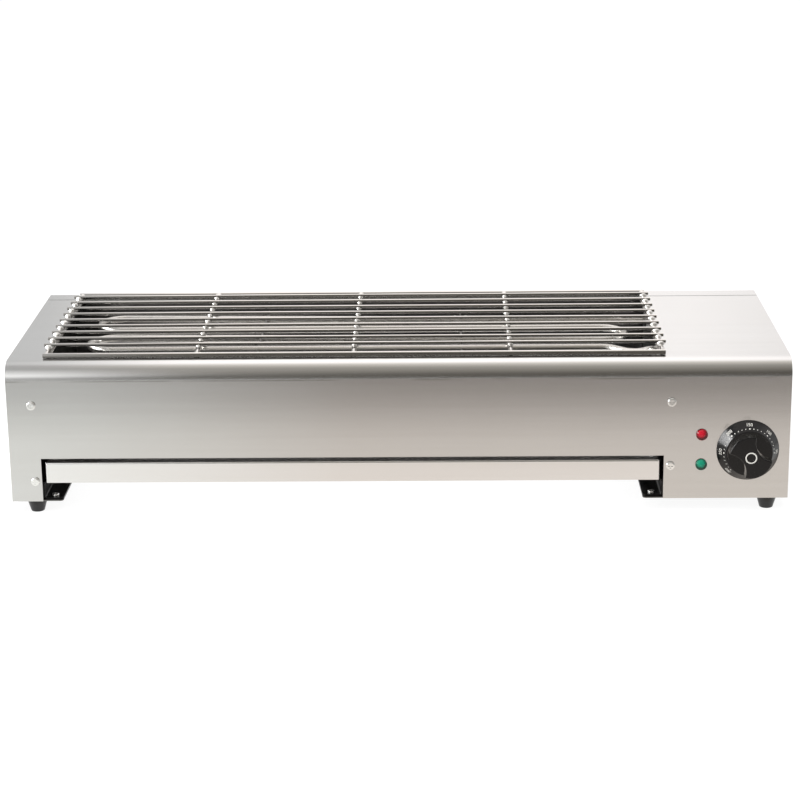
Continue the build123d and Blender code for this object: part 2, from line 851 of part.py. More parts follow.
def thermostat_screws():
    """Two low-headed screws through the front panel."""
    return [pan_screw(point, to_front, thermostat_screw) for point in thermostat_screw_places()]


def bulb_axis():
    """Y and Z of the sensor bulb, which lies along the front shield."""
    return opening_front_y + bulb_stand_off, tube_z - bulb_below_tube


def bulb_reach():
    """X where the bulb starts and ends."""
    end = right_wall_x - bulb_from_wall
    return end - bulb_length, end


def sensor_bulb():
    """Sealed bulb that senses the fire box's heat."""
    y, z = bulb_axis()
    start, end = bulb_reach()
    bulb = rod((start, y, z), (end, y, z), bulb_radius)
    return fillet(bulb.edges(), bulb_round)


def bulb_clip(x):
    """Spring clip round the bulb with a foot on the front shield."""
    y, z = bulb_axis()
    side = (x - clip_width / 2, x + clip_width / 2)
    inside = bulb_radius + clip_clearance
    ring = rod((side[0], y, z), (side[1], y, z), inside + clip_wall)
    foot_y = (opening_front_y, opening_front_y + clip_wall)
    foot = block(side, foot_y, (z - bulb_clip_foot, z + bulb_clip_foot))
    neck = block(side, (opening_front_y, y - bulb_radius + clip_wall), (z - clip_wall, z + clip_wall))
    return ring + foot + neck - rod((side[0], y, z), (side[1], y, z), inside)


def bulb_clips():
    """Two clips, a quarter of the bulb's length from its ends."""
    start, end = bulb_reach()
    return [bulb_clip(start + bulb_length / 4), bulb_clip(end - bulb_length / 4)]


def capillary_tube():
    """Thin tube from the bulb, through the inner wall, to the diaphragm."""
    y, z = bulb_axis()
    _, bulb_end = bulb_reach()
    cup_y = front_in + thermostat_depth + diaphragm_depth
    loop_y = cup_y + capillary_loop
    points = [(bulb_end, y, z), (knob_x, y, z), (knob_x, loop_y, z), (knob_x, loop_y, knob_z)]
    return swept_round(points + [(knob_x, cup_y, knob_z)], capillary_bend, capillary_radius)


# Pilot lamps
def lamp_places():
    """Middles of the red and the green lamp on the panel."""
    return [(pilot_x, front_y, base_z + pilot_height + side * pilot_spacing / 2) for side in (1, -1)]


def pilot_lens(point):
    """Coloured lens: a low dome on a flange, with a neck through the panel."""
    flange = Cylinder(lens_radius, lens_flange, align=base_align)
    dome_radius = (lens_radius**2 + lens_dome**2) / (2 * lens_dome)
    dome = Pos(0, 0, lens_flange + lens_dome - dome_radius) * Sphere(dome_radius)
    dome &= Pos(0, 0, lens_flange) * Cylinder(lens_radius - lens_step, 2 * lens_dome, align=base_align)
    neck = Pos(0, 0, -sheet) * Cylinder(lens_neck_radius, sheet, align=base_align)
    return stand(flange + dome + neck, point, to_front)


def lamp_body(point):
    """Lamp capsule behind the panel."""
    x, _, z = point
    body = rod((x, front_in, z), (x, front_in + lamp_length, z), lamp_radius)
    return fillet(body.edges().group_by(Axis.Y)[-1], lamp_round)


def push_nut(point):
    """Toothed ring that clamps the lamp against the panel."""
    x, _, z = point
    ring = rod((x, front_in, z), (x, front_in + sheet, z), push_nut_radius)
    return ring - rod((x, front_y, z), (x, front_in + 2 * sheet, z), lamp_radius + lamp_clearance)


# Wiring
def block_y():
    """Y of the terminal block's middle."""
    return rear_y - block_from_rear


def block_pole_x(pole):
    """X of one pole of the terminal block."""
    pitch = block_length / block_poles
    return gland_x + (pole - (block_poles - 1) / 2) * pitch


def block_screw_places():
    """Seats of the block's screws, two to a pole."""
    z = plate_top + block_height - block_screw_depth
    sides = (-block_width / 4, block_width / 4)
    return [(block_pole_x(pole), block_y() + side, z) for pole in range(block_poles) for side in sides]


def terminal_block():
    """Three-pole block on the control box's bottom plate."""
    half_x, half_y = block_length / 2, block_width / 2
    reach_x, reach_y = (gland_x - half_x, gland_x + half_x), (block_y() - half_y, block_y() + half_y)
    body = block(reach_x, reach_y, (plate_top, plate_top + block_height))
    body = chamfer(body.edges().filter_by(Axis.X).group_by(Axis.Z)[-1], block_chamfer)
    for place in block_screw_places():
        body -= Pos(place) * Cylinder(block_well_radius, block_height, align=base_align)
    return body


def terminal_screws():
    """Slotted screws in the block's wells."""
    screw = Cylinder(block_screw_radius, block_screw_height, align=base_align)
    screw -= Pos(0, 0, block_screw_height) * Box(3 * block_screw_radius, block_slot_width, block_slot_depth)
    return [Pos(place) * screw for place in block_screw_places()]


def lead(points):
    """Stiff round wire through the given points."""
    return swept_round(points, lead_bend, lead_radius)


def block_entry(pole):
    """Point on the block's front face where a lead goes in."""
    return (block_pole_x(pole), block_y() - block_width / 2, plate_top + block_height / 2)


def live_lead():
    """From the block to the thermostat's right blade."""
    x, y, z = block_entry(2)
    blade_x, blade_y, blade_z = blade_places()[1]
    turns = [(x, y - lead_run, z), (blade_x, blade_y + lead_run, blade_z)]
    return lead([(x, y, z)] + turns + [(blade_x, blade_y, blade_z)])


def element_lead():
    """From the thermostat's left blade to the tube's front terminal."""
    x, y, z = blade_places()[0]
    tip_x, tip_y, tip_z = tube_pin_tip(tube_end_places()[0])
    return lead([(x, y, z), (x, tip_y, z), (x, tip_y, tip_z), (tip_x, tip_y, tip_z)])


def neutral_lead():
    """From the block to the tube's rear terminal."""
    x, y, z = block_entry(0)
    tip_x, tip_y, tip_z = tube_pin_tip(tube_end_places()[1])
    turn_x, turn_y = tip_x + lead_run, y - lead_run
    turns = [(x, turn_y, z), (turn_x, turn_y, tip_z), (turn_x, tip_y, tip_z)]
    return lead([(x, y, z)] + turns + [(tip_x, tip_y, tip_z)])


def earth_place():
    """Middle of the earth stud on the bottom plate."""
    return (right_wall_x + earth_from_wall, rear_y - earth_from_rear)


def earth_stud():
    """Stud for the earth lead, standing on the bottom plate."""
    x, y = earth_place()
    return rod((x, y, plate_top), (x, y, plate_top + earth_stud_length), earth_stud_radius)


def earth_nuts():
    """Lock nut and clamping nut on the stud."""
    x, y = earth_place()
    levels = (plate_top, plate_top + earth_nut_height + earth_nut_gap)
    return [hex_nut((x, y, z), upwards, earth_nut_flats, earth_nut_height, earth_stud_radius) for z in levels]


# Cable gland
def gland_axis(depth):
    """Point on the gland's axis, measured outwards from the back face."""
    return (gland_x, rear_y + depth, gland_z)


def gland_hexagon(height):
    """Hexagonal collar of the gland, drawn upright at the origin."""
    return extrude(RegularPolygon(gland_flats / 2, 6, major_radius=False), height)


def cable_gland():
    """Body of the gland: thread through the rear cover and a hexagon outside it."""
    start, end = gland_axis(-gland_inside), gland_axis(gland_flange + gland_thread_out)
    body = rod(start, end, gland_thread_radius)
    body += stand(gland_hexagon(gland_flange), gland_axis(0), to_rear)
    return body - rod(start, end, gland_bore)


def gland_cap():
    """Dome nut that squeezes the seal round a cord."""
    start = gland_flange + gland_cap_gap
    nose_length = gland_reach - start - gland_cap_grip
    cap = gland_hexagon(gland_cap_grip)
    cap += Pos(0, 0, gland_cap_grip) * Cone(gland_flats / 2, gland_nose_radius, nose_length, align=base_align)
    cap = stand(cap, gland_axis(start), to_rear)
    thread_end = gland_axis(gland_flange + gland_thread_out)
    cap -= rod(gland_axis(start), thread_end, gland_thread_radius + gland_clearance)
    return cap - rod(gland_axis(start), gland_axis(gland_reach), gland_bore)


def gland_locknut():
    """Nut behind the rear cover that holds the gland."""
    start = (gland_x, rear_in, gland_z)
    return hex_nut(start, to_front, gland_flats, gland_locknut_height, gland_thread_radius)


# All pieces by name
feet = foot_places()
lamps = lamp_places()
pieces = {
    "front_top_shell": front_top_shell(),
    "rear_cover": rear_cover(),
    "left_end_panel": end_panel(left_x, 1),
    "right_end_panel": end_panel(right_x, -1),
    "left_inner_wall": inner_wall(left_wall_x, -1),
    "right_inner_wall": inner_wall(right_wall_x, 1),
    "front_heat_shield": heat_shield(opening_front_y, -1, front_shield_flange, front_in),
    "rear_heat_shield": heat_shield(opening_rear_y, 1, shield_flange, rear_in),
    "left_leg_base": left_leg_base(),
    "control_box_base": control_box_base(),
    "left_tray_rail": tray_rail(left_wall_x, 1),
    "right_tray_rail": tray_rail(right_wall_x, -1),
    "front_screws": [pan_screw(point, to_front, panel_screw) for point in wall_screw_places(front_y)],
    "rear_screws": [pan_screw(point, to_rear, panel_screw) for point in wall_screw_places(rear_y)],
    "base_screws": [pan_screw((x, y, base_z), downwards, small_screw) for x, y in base_screw_places()],
    "rail_screws": [
        pan_screw((x, y, plate_top + rail_sheet), upwards, small_screw, rail_screw_grip)
        for x, y in rail_screw_places()
    ],
    "foot_screws": [foot_screw(x, y) for x, y in feet.values()],
    "foot_nuts": [foot_nut(x, y) for x, y in feet.values()],
    "tray_fascia": tray_fascia(),
    "tray_pan": tray_pan(),
    "grate_frame": grate_frame(),
    "grate_cross_rods": grate_cross_rods(),
    "grate_bars": grate_bars(),
    "heating_tube": heating_tube(),
    "left_tube_support": tube_support(support_places[0]),
    "right_tube_support": tube_support(support_places[1]),
    "support_rivets": support_rivets(),
    "tube_bushings": [tube_bushing(y) for y in tube_end_places()],
    "tube_nuts": [tube_nut(y) for y in tube_end_places()],
    "tube_insulators": [tube_insulator(y) for y in tube_end_places()],
    "tube_pins": [tube_pin(y) for y in tube_end_places()],
    "control_knob": control_knob(),
    "thermostat_shaft": thermostat_shaft(),
    "thermostat_body": thermostat_body(),
    "thermostat_screws": thermostat_screws(),
    "sensor_bulb": sensor_bulb(),
    "bulb_clips": bulb_clips(),
    "capillary_tube": capillary_tube(),
    "red_pilot_lens": pilot_lens(lamps[0]),
    "green_pilot_lens": pilot_lens(lamps[1]),
    "pilot_lamp_bodies": [lamp_body(point) for point in lamps],
    "pilot_push_nuts": [push_nut(point) for point in lamps],
    "terminal_block": terminal_block(),
    "terminal_screws": terminal_screws(),
    "live_lead": live_lead(),
    "element_lead": element_lead(),
    "neutral_lead": neutral_lead(),
    "earth_stud": earth_stud(),
    "earth_nuts": earth_nuts(),
    "cable_gland": cable_gland(),
    "gland_cap": gland_cap(),
    "gland_locknut": gland_locknut(),
}
for name, (x, y) in feet.items():
    pieces[name] = rubber_foot(x, y)

os.makedirs("parts", exist_ok=True)
for name, shape in pieces.items():
    solids = shape if isinstance(shape, list) else [shape]
    export_step(Compound([solid for part in solids for solid in part.solids()]), f"parts/{name}.step")
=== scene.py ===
import logging
import math
from dataclasses import dataclass
from enum import Enum
from functools import cache
from typing import Any, Protocol

import bmesh
import bpy
from mathutils import Matrix, Vector


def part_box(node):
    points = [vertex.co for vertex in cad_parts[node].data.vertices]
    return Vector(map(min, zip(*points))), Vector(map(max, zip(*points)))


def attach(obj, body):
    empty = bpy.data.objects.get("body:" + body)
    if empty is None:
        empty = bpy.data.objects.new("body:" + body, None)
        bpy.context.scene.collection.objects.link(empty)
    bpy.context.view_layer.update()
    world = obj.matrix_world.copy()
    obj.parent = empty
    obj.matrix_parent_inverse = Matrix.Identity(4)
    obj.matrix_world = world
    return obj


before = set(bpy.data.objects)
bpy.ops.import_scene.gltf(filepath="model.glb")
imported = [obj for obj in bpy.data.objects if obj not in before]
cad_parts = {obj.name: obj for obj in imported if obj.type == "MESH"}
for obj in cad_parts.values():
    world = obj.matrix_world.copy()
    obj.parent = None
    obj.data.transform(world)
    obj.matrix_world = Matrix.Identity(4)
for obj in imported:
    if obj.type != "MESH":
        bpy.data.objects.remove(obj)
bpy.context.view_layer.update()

# Electric skewer grill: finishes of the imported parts, the small details round them, studio and camera.
MM = 0.001
Colour = tuple[float, float, float, float]
Sizes = tuple[float, float, float]
Socket = bpy.types.NodeSocket
log = logging.getLogger("skewer_grill")


def srgb(code: str) -> Colour:
    """Turns a colour written as sRGB hex to the linear values that shaders take.

    Args:
        code: Six hex digits, red first.

    Returns:
        Linear red, green and blue, and an alpha of 1.
    """
    parts = [int(code[n:n + 2], 16) / 255 for n in (0, 2, 4)]
    linear = [c / 12.92 if c <= 0.04045 else ((c + 0.055) / 1.055) ** 2.4 for c in parts]
    return linear[0], linear[1], linear[2], 1.0


def add_node(
    tree: bpy.types.NodeTree, kind: str, inputs: dict | None = None, **settings: Any
) -> bpy.types.Node:
    """Adds a node to a tree, sets it up and links it.

    Args:
        tree: The tree that gets the node.
        kind: The node's type name.
        inputs: A value, or a socket to link from, for each input by its name or number.
        settings: The node's own properties.

    Returns:
        The new node.
    """
    node = tree.nodes.new(kind)
    for name, value in settings.items():
        setattr(node, name, value)
    for key, value in (inputs or {}).items():
        if isinstance(value, Socket):
            tree.links.new(value, node.inputs[key])
        else:
            node.inputs[key].default_value = value
    return node


class Grain(Enum):
    """Direction in which a sheet was ground or a rod was drawn."""

    ALONG_X = 0
    ALONG_Y = 1
    ALONG_Z = 2

    def sizes(self, length_mm: float, width_mm: float) -> Sizes:
        """Size of one mark along each axis, in millimetres."""
        sizes = [width_mm] * 3
        sizes[self.value] = length_mm
        return sizes[0], sizes[1], sizes[2]


class Surface:
    """A new material: its shader, and patterns that start from the piece's own place."""

    def __init__(self, name: str, **constants: Any) -> None:
        """Makes the material.

        Args:
            name: Name of the real material.
            constants: Shader inputs that are the same all over, with spaces written as underscores.
        """
        self.material = bpy.data.materials.new(name)
        self.material.use_nodes = True
        self.tree = self.material.node_tree
        self.tree.nodes.clear()
        values = {key.replace("_", " "): value for key, value in constants.items()}
        self.shader = add_node(self.tree, "ShaderNodeBsdfPrincipled", values)
        add_node(self.tree, "ShaderNodeOutputMaterial", {"Surface": self.shader.outputs["BSDF"]})
        self.place = add_node(self.tree, "ShaderNodeTexCoord").outputs["Object"]

    def marks(self, sizes_mm: Sizes, detail: float = 2.0, shift: float = 0.0) -> Socket:
        """Soft random marks.

        Args:
            sizes_mm: Size of a mark along each axis.
            detail: Levels of finer marks on top.
            shift: Moves the pattern, so that two patterns differ.

        Returns:
            A value that goes from 0 to 1 round a mean of 0.5.
        """
        scale = [1 / (size * MM) for size in sizes_mm]
        inputs = {"Vector": self.place, "Location": [shift] * 3, "Scale": scale}
        moved = add_node(self.tree, "ShaderNodeMapping", inputs)
        inputs = {"Vector": moved.outputs["Vector"], "Scale": 1.0, "Detail": detail}
        return add_node(self.tree, "ShaderNodeTexNoise", inputs).outputs["Fac"]

    def spread(self, source: Socket, low: float, high: float) -> Socket:
        """Stretches the middle of a pattern's range to the given values."""
        inputs = {"Value": source, "From Min": 0.3, "From Max": 0.7, "To Min": low, "To Max": high}
        return add_node(self.tree, "ShaderNodeMapRange", inputs).outputs["Result"]

    def underside(self) -> Socket:
        """Goes from 0 where the surface faces up to 1 where it faces sideways or down."""
        normal = add_node(self.tree, "ShaderNodeTexCoord").outputs["Normal"]
        upward = add_node(self.tree, "ShaderNodeSeparateXYZ", {"Vector": normal}).outputs["Z"]
        inputs = {"Value": upward, "From Min": 0.8, "From Max": 0.45}
        return add_node(self.tree, "ShaderNodeMapRange", inputs).outputs["Result"]

    def tool_line(self, height_mm: float, half_widths_mm: tuple[float, float]) -> Socket:
        """A broken darker line along X: painted shade of a faint crease that a bending tool pressed into the
        sheet.

        Args:
            height_mm: Height of the line above the floor.
            half_widths_mm: Half the width of its core and of its flanks.

        Returns:
            A value that is 0 away from the line, up to 0.4 on its flanks and up to 0.8 on its core.
        """
        height = add_node(self.tree, "ShaderNodeSeparateXYZ", {"Vector": self.place}).outputs["Z"]
        bands = []
        for half_width in half_widths_mm:
            inputs = {0: height, 1: height_mm * MM, 2: half_width * MM}
            bands.append(add_node(self.tree, "ShaderNodeMath", inputs, operation="COMPARE").outputs[0])
        both = add_node(self.tree, "ShaderNodeMath", {0: bands[0], 1: bands[1]}, operation="ADD").outputs[0]
        broken = self.spread(self.marks((70.0, 30.0, 30.0), 3.0, 17.0), -0.25, 0.4)
        inputs = {0: both, 1: broken}
        return add_node(self.tree, "ShaderNodeMath", inputs, operation="MULTIPLY", use_clamp=True).outputs[0]

    def blend(self, share: Socket, first: Socket | Colour, second: Colour) -> Socket:
        """Mixes two colours by a share from 0 to 1."""
        inputs = {"Factor": share, 6: first, 7: second}
        return add_node(self.tree, "ShaderNodeMix", inputs, data_type="RGBA").outputs[2]

    def link(self, name: str, source: Socket) -> None:
        """Feeds one of the shader's inputs from a pattern."""
        self.tree.links.new(source, self.shader.inputs[name])

    def relief(self, height: Socket, depth_mm: float) -> None:
        """Raises and sinks the surface by a pattern, for light only."""
        inputs = {"Height": height, "Distance": depth_mm * MM, "Strength": 1.0}
        self.link("Normal", add_node(self.tree, "ShaderNodeBump", inputs).outputs["Normal"])


class Finish(Protocol):
    """Anything that can make the material of a piece."""

    def build(self) -> bpy.types.Material:
        """Makes the material."""
        ...


@dataclass(frozen=True)
class MetalFinish:
    """Bare or plated metal, marked along one direction by how it was worked.

    Attributes:
        name: Name of the metal and how it was made.
        colour: Its colour where it is clean.
        shade: Its colour in marks and stains.
        roughness: Mean roughness.
        grain: Direction of its marks.
        mark_mm: Length and width of one mark.
        depth_mm: Depth of the marks.
        band_mm: Length and width of the broad bands between passes of the belt.
        stain: How much the shade shows, from 0 to 1.
        polish: Share of the light that it mirrors. The rest is scattered.
        baked: Its colour on its sides and underside, a painted shade that darkens them, or nothing.
        tool_line_mm: Height of a faint line of painted shade where the bending tool pressed a crease, or 0 for
            none.
        tool_shade: Colour of that painted shade.
        tool_half_widths_mm: Half the width of that line's core and of its flanks.
        cloud_mm: Size of the faint clouds that wiping leaves.
        cloud_share: How much of the stain the clouds show.
        rough_range: Shares of the roughness between its marks and in them.
    """

    name: str
    colour: str
    shade: str
    roughness: float
    grain: Grain = Grain.ALONG_X
    mark_mm: tuple[float, float] = (300.0, 0.4)
    depth_mm: float = 0.0004
    band_mm: tuple[float, float] = (260.0, 6.0)
    stain: float = 0.5
    polish: float = 1.0
    baked: str = ""
    tool_line_mm: float = 0.0
    tool_shade: str = "8B8883"
    tool_half_widths_mm: tuple[float, float] = (0.25, 0.8)
    cloud_mm: float = 55.0
    cloud_share: float = 0.6
    rough_range: tuple[float, float] = (0.92, 1.09)

    @cache
    def build(self) -> bpy.types.Material:
        """Makes the metal with its marks, bands and stains."""
        surface = Surface(self.name, Metallic=self.polish)
        marks = surface.marks(self.grain.sizes(*self.mark_mm), 3.0)
        bands = surface.marks(self.grain.sizes(*self.band_mm), 2.0, 4.0)
        cloud = surface.marks((self.cloud_mm,) * 3, 3.0, 9.0)
        share = surface.spread(bands, 0.0, self.stain)
        base = surface.blend(share, srgb(self.colour), srgb(self.shade))
        darker = surface.spread(cloud, 0.0, self.stain * self.cloud_share)
        base = surface.blend(darker, base, srgb(self.shade))
        # Painted shade: the sides and underside turn towards this darker colour by which way they face.
        if self.baked:
            base = surface.blend(surface.underside(), base, srgb(self.baked))
        # Painted shade: a darker broken line along the crease below the bend.
        if self.tool_line_mm:
            line = surface.tool_line(self.tool_line_mm, self.tool_half_widths_mm)
            base = surface.blend(line, base, srgb(self.tool_shade))
        surface.link("Base Color", base)
        smooth, rough = (self.roughness * share for share in self.rough_range)
        surface.link("Roughness", surface.spread(marks, smooth, rough))
        surface.relief(marks, self.depth_mm)
        return surface.material


@dataclass(frozen=True)
class MouldedFinish:
    """Plastic, rubber, paint or ceramic with a fine even texture.

    Attributes:
        name: Name of the material and how it was made.
        colour: Its colour.
        dust: Its colour where it is dusty or rubbed.
        roughness: Mean roughness.
        texture_mm: Size of the texture's grains.
        depth_mm: Depth of the texture.
        index: Index of refraction.
        shine: How strongly it mirrors, where 0.5 is what its index gives.
        wear: How much the dust colour shows, from 0 to 1.
        rub_mm: Size of a rubbed or dusty place.
        rough_range: Shares of the roughness in its smoothest and its roughest places.
    """

    name: str
    colour: str
    dust: str
    roughness: float
    texture_mm: float = 0.6
    depth_mm: float = 0.01
    index: float = 1.5
    shine: float = 0.5
    wear: float = 0.3
    rub_mm: float = 14.0
    rough_range: tuple[float, float] = (0.85, 1.2)

    @cache
    def build(self) -> bpy.types.Material:
        """Makes the material with its texture and rubbed places."""
        surface = Surface(self.name, IOR=self.index, Specular_IOR_Level=self.shine)
        grains = surface.marks((self.texture_mm,) * 3, 2.0)
        rubbed = surface.marks((self.rub_mm,) * 3, 4.0, 5.0)
        share = surface.spread(rubbed, 0.0, self.wear)
        surface.link("Base Color", surface.blend(share, srgb(self.colour), srgb(self.dust)))
        smooth, rough = (self.roughness * share for share in self.rough_range)
        surface.link("Roughness", surface.spread(rubbed, smooth, rough))
        surface.relief(grains, self.depth_mm)
        return surface.material


@dataclass(frozen=True)
class LensFinish:
    """Clear coloured plastic of a pilot lamp, darker at its thick edge and with fine specks in it.

    Attributes:
        name: Name of the material and how it was made.
        colour: Its colour where light comes through.
        deep: Its colour at its thick edge.
        edge: How far it faces away where the edge's colour starts, and where it is full, from 0 to 1.
        speck_mm: Size of the specks in the plastic.
        speck_share: How much the specks show, from 0 to 1.
        speck_depth_mm: Depth of the specks.
    """

    name: str
    colour: str
    deep: str
    edge: tuple[float, float] = (0.06, 0.28)
    speck_mm: float = 0.9
    speck_share: float = 0.25
    speck_depth_mm: float = 0.05

    @cache
    def build(self) -> bpy.types.Material:
        """Makes the lens material."""
        surface = Surface(
            self.name, Roughness=0.12, IOR=1.49, Transmission_Weight=0.2, Specular_IOR_Level=0.4
        )
        turned = add_node(surface.tree, "ShaderNodeLayerWeight", {"Blend": 0.5}).outputs["Facing"]
        facing = add_node(surface.tree, "ShaderNodeMapRange", {
            "Value": turned, "From Min": self.edge[0], "From Max": self.edge[1],
        }).outputs["Result"]
        specks = surface.marks((self.speck_mm,) * 3, 2.0)
        edge = surface.blend(facing, srgb(self.colour), srgb(self.deep))
        share = surface.spread(specks, 0.0, self.speck_share)
        surface.link("Base Color", surface.blend(share, edge, srgb(self.deep)))
        surface.relief(specks, self.speck_depth_mm)
        return surface.material


# Real grinding and drawing lines are finer than 0.1 mm. They are drawn 0.3 mm wide and more, so that they show.

# Ground stainless sheet: long fine lines along the panel blur what it mirrors up and down. A faint darker line
# below the bend is painted shade of a crease.
SHELL_STEEL = MetalFinish(
    "stainless_sheet_belt_ground", "DEDEDD", "D6D5D3", 0.2, stain=0.3, tool_line_mm=124.6
)
# The same sheet seen from its end, ground from front to back.
END_STEEL = MetalFinish(
    "stainless_sheet_belt_ground_ends", "DCDBD9", "D2D0CC", 0.24, Grain.ALONG_Y, stain=0.3
)
# Mill sheet: dull grey, made darker than the outer steel as painted shade for the inside of the body, with
# faint stains from heat and fat.
MILL_STEEL_SHADED = MetalFinish("stainless_sheet_mill_finish_shaded", "807F7E", "464544", 0.3, depth_mm=0.001, stain=0.6)
# Satin sheet of the drawer: finer and lighter than the shell.
SATIN_STEEL = MetalFinish("stainless_sheet_satin", "F8F8F8", "EFEEEC", 0.25, mark_mm=(200.0, 0.3), stain=0.3)
# Drawn rod: almost polished, with hair lines along its length, and a painted shade on its sides and underside.
BAR_STEEL = MetalFinish(
    "stainless_rod_drawn", "E2E0DD", "BDB9B3", 0.14, mark_mm=(300.0, 1.6), depth_mm=0.0002, stain=0.2,
    baked="A09E9B",
)
# The same rod laid across, without the painted shade on the bars' sides and underside.
CROSS_STEEL = MetalFinish(
    "stainless_rod_drawn_cross", "E6E4E1", "C4C0BA", 0.16, Grain.ALONG_Y, stain=0.25
)
# Weld metal: whitish grey and matt, because it was passivated and not polished.
WELD_STEEL = MetalFinish(
    "stainless_weld_passivated", "FBFAF8", "8F8C86", 0.3, mark_mm=(1.1, 1.1), depth_mm=0.09, polish=0.8
)
# Tube sheath: bright, with a light straw tint where it has been hot.
SHEATH_STEEL = MetalFinish("stainless_tube_annealed", "DAD8D4", "A9A299", 0.27, stain=0.3)
# Nickel plate: warm white and smooth, with a faint dull film.
NICKEL_PLATE = MetalFinish(
    "steel_nickel_plated", "FAFAF8", "D9D7D2", 0.12, mark_mm=(1.5, 0.4), stain=0.2, polish=0.85
)
# Turned brass: yellow, with fine lines from the tool.
TURNED_BRASS = MetalFinish("brass_turned", "D9B76A", "8E6A33", 0.25, mark_mm=(6.0, 0.3))
# Copper capillary: soft pink metal that has darkened in places.
DRAWN_COPPER = MetalFinish("copper_tube_drawn", "D08A66", "6E3F2B", 0.3, mark_mm=(8.0, 0.3))
# Rail steel: black semi gloss with dusty places; its black is painted shade for the dark space under the tray.
RAIL_SHADE_BLACK = MouldedFinish("steel_rail_shade_black", "0B0A0A", "24221F", 0.34, 0.8, 0.01, 1.5, 0.3, 0.3)
# Phenolic: very deep black with a polished skin that mirrors the lamps.
BLACK_PHENOLIC = MouldedFinish("phenolic_moulded_gloss", "080809", "131315", 0.2, 0.7, 0.002, 1.55, 0.32, 0.4)
# Rubber: charcoal, dull, with a dusty bloom.
FOOT_RUBBER = MouldedFinish("rubber_moulded_black", "0B0A0A", "201E1C", 0.28, 0.7, 0.01, 1.52, 0.5, 0.4)
# Nylon of switches and gland: black with a fine spark texture.
BLACK_NYLON = MouldedFinish("nylon_moulded_black", "1E1E1E", "3A3A38", 0.45, 0.5, 0.02, 1.53)
# Terminal plastic: milky polyamide.
WHITE_POLYAMIDE = MouldedFinish("polyamide_moulded_white", "E2DED2", "C9C2B2", 0.4, 0.5, 0.01, 1.53)
# Steatite: chalk white ceramic, fired without glaze.
STEATITE = MouldedFinish("steatite_fired", "ECE8DC", "CFC7B5", 0.6, 0.4, 0.02, 1.6)
# Silicone insulation of the leads: soft sheen.
BROWN_SILICONE = MouldedFinish("silicone_extruded_brown", "5B3420", "7A4F38", 0.45, 1.2, 0.01, 1.41)
RED_SILICONE = MouldedFinish("silicone_extruded_red", "9E1F1A", "B8453C", 0.45, 1.2, 0.01, 1.41)
BLUE_SILICONE = MouldedFinish("silicone_extruded_blue", "1F3F8C", "4763A6", 0.45, 1.2, 0.01, 1.41)
# Pad-printed scale: slightly raised off-white ink.
PRINT_INK = MouldedFinish("print_ink_white", "E9E7E0", "C4C1B9", 0.5, 0.4, 0.002, 1.5, wear=0.5)
# Lamp lenses: clear acrylic, darker where it is thick.
RED_ACRYLIC = LensFinish("acrylic_moulded_red", "DA2236", "5E0410")
GREEN_ACRYLIC = LensFinish("acrylic_moulded_green", "22A884", "023A2C")

NODE_FINISHES: dict[Finish, tuple[str, ...]] = {
    SHELL_STEEL: ("front_top_shell", "rear_cover"),
    END_STEEL: ("left_end_panel", "right_end_panel"),
    MILL_STEEL_SHADED: (
        "left_inner_wall", "right_inner_wall", "front_heat_shield", "rear_heat_shield",
        "left_leg_base", "control_box_base", "left_tube_support", "right_tube_support", "bulb_clips",
    ),
    SATIN_STEEL: ("tray_pan", "tray_fascia"),
    BAR_STEEL: ("grate_frame", "grate_bars"),
    CROSS_STEEL: ("grate_cross_rods",),
    SHEATH_STEEL: ("heating_tube", "sensor_bulb"),
    NICKEL_PLATE: (
        "front_screws", "rear_screws", "base_screws", "rail_screws", "foot_screws", "foot_nuts",
        "support_rivets", "thermostat_screws", "terminal_screws", "pilot_push_nuts", "thermostat_shaft",
        "tube_pins", "tube_bushings", "tube_nuts",
    ),
    TURNED_BRASS: ("earth_stud", "earth_nuts"),
    DRAWN_COPPER: ("capillary_tube",),
    RAIL_SHADE_BLACK: ("left_tray_rail", "right_tray_rail"),
    BLACK_PHENOLIC: ("control_knob",),
    FOOT_RUBBER: ("front_left_foot", "front_right_foot", "rear_left_foot", "rear_right_foot"),
    BLACK_NYLON: ("thermostat_body", "pilot_lamp_bodies", "cable_gland", "gland_cap", "gland_locknut"),
    WHITE_POLYAMIDE: ("terminal_block",),
    STEATITE: ("tube_insulators",),
    BROWN_SILICONE: ("live_lead",),
    RED_SILICONE: ("element_lead",),
    BLUE_SILICONE: ("neutral_lead",),
    RED_ACRYLIC: ("red_pilot_lens",),
    GREEN_ACRYLIC: ("green_pilot_lens",),
}


def dress_nodes() -> None:
    """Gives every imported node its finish."""
    for finish, nodes in NODE_FINISHES.items():
        material = finish.build()
        for node in nodes:
            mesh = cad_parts[node].data
            mesh.materials.clear()
            mesh.materials.append(material)
        log.info("%s on %d nodes", material.name, len(nodes))


def middle(node: str) -> Vector:
    """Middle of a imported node's box."""
    low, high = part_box(node)
    return (low + high) / 2


def close(mesh: bpy.types.Mesh) -> None:
    """Joins the mesh's doubled corners and turns its faces outwards.

    Args:
        mesh: A mesh of one or more closed shells.
    """
    shape = bmesh.new()
    shape.from_mesh(mesh)
    bmesh.ops.remove_doubles(shape, verts=shape.verts, dist=0.0005 * MM)
    bmesh.ops.recalc_face_normals(shape, faces=shape.faces)
    shape.to_mesh(mesh)
    shape.free()


def keep(name: str, mesh: bpy.types.Mesh, finish: Finish, body: str) -> bpy.types.Object:
    """Puts a finished mesh into the scene and lets it ride on a body.

    Args:
        name: Name of the piece.
        mesh: Its mesh, in place.
        finish: What it is made of.
        body: The body that carries it.

    Returns:
        The piece.
    """
    mesh.name = name
    close(mesh)
    if not mesh.materials or mesh.materials[0] is None:
        mesh.materials.clear()
        mesh.materials.append(finish.build())
    piece = bpy.data.objects.new(name, mesh)
    bpy.context.scene.collection.objects.link(piece)
    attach(piece, body)
    log.info("%s: %d faces on %s", name, len(mesh.polygons), body)
    return piece


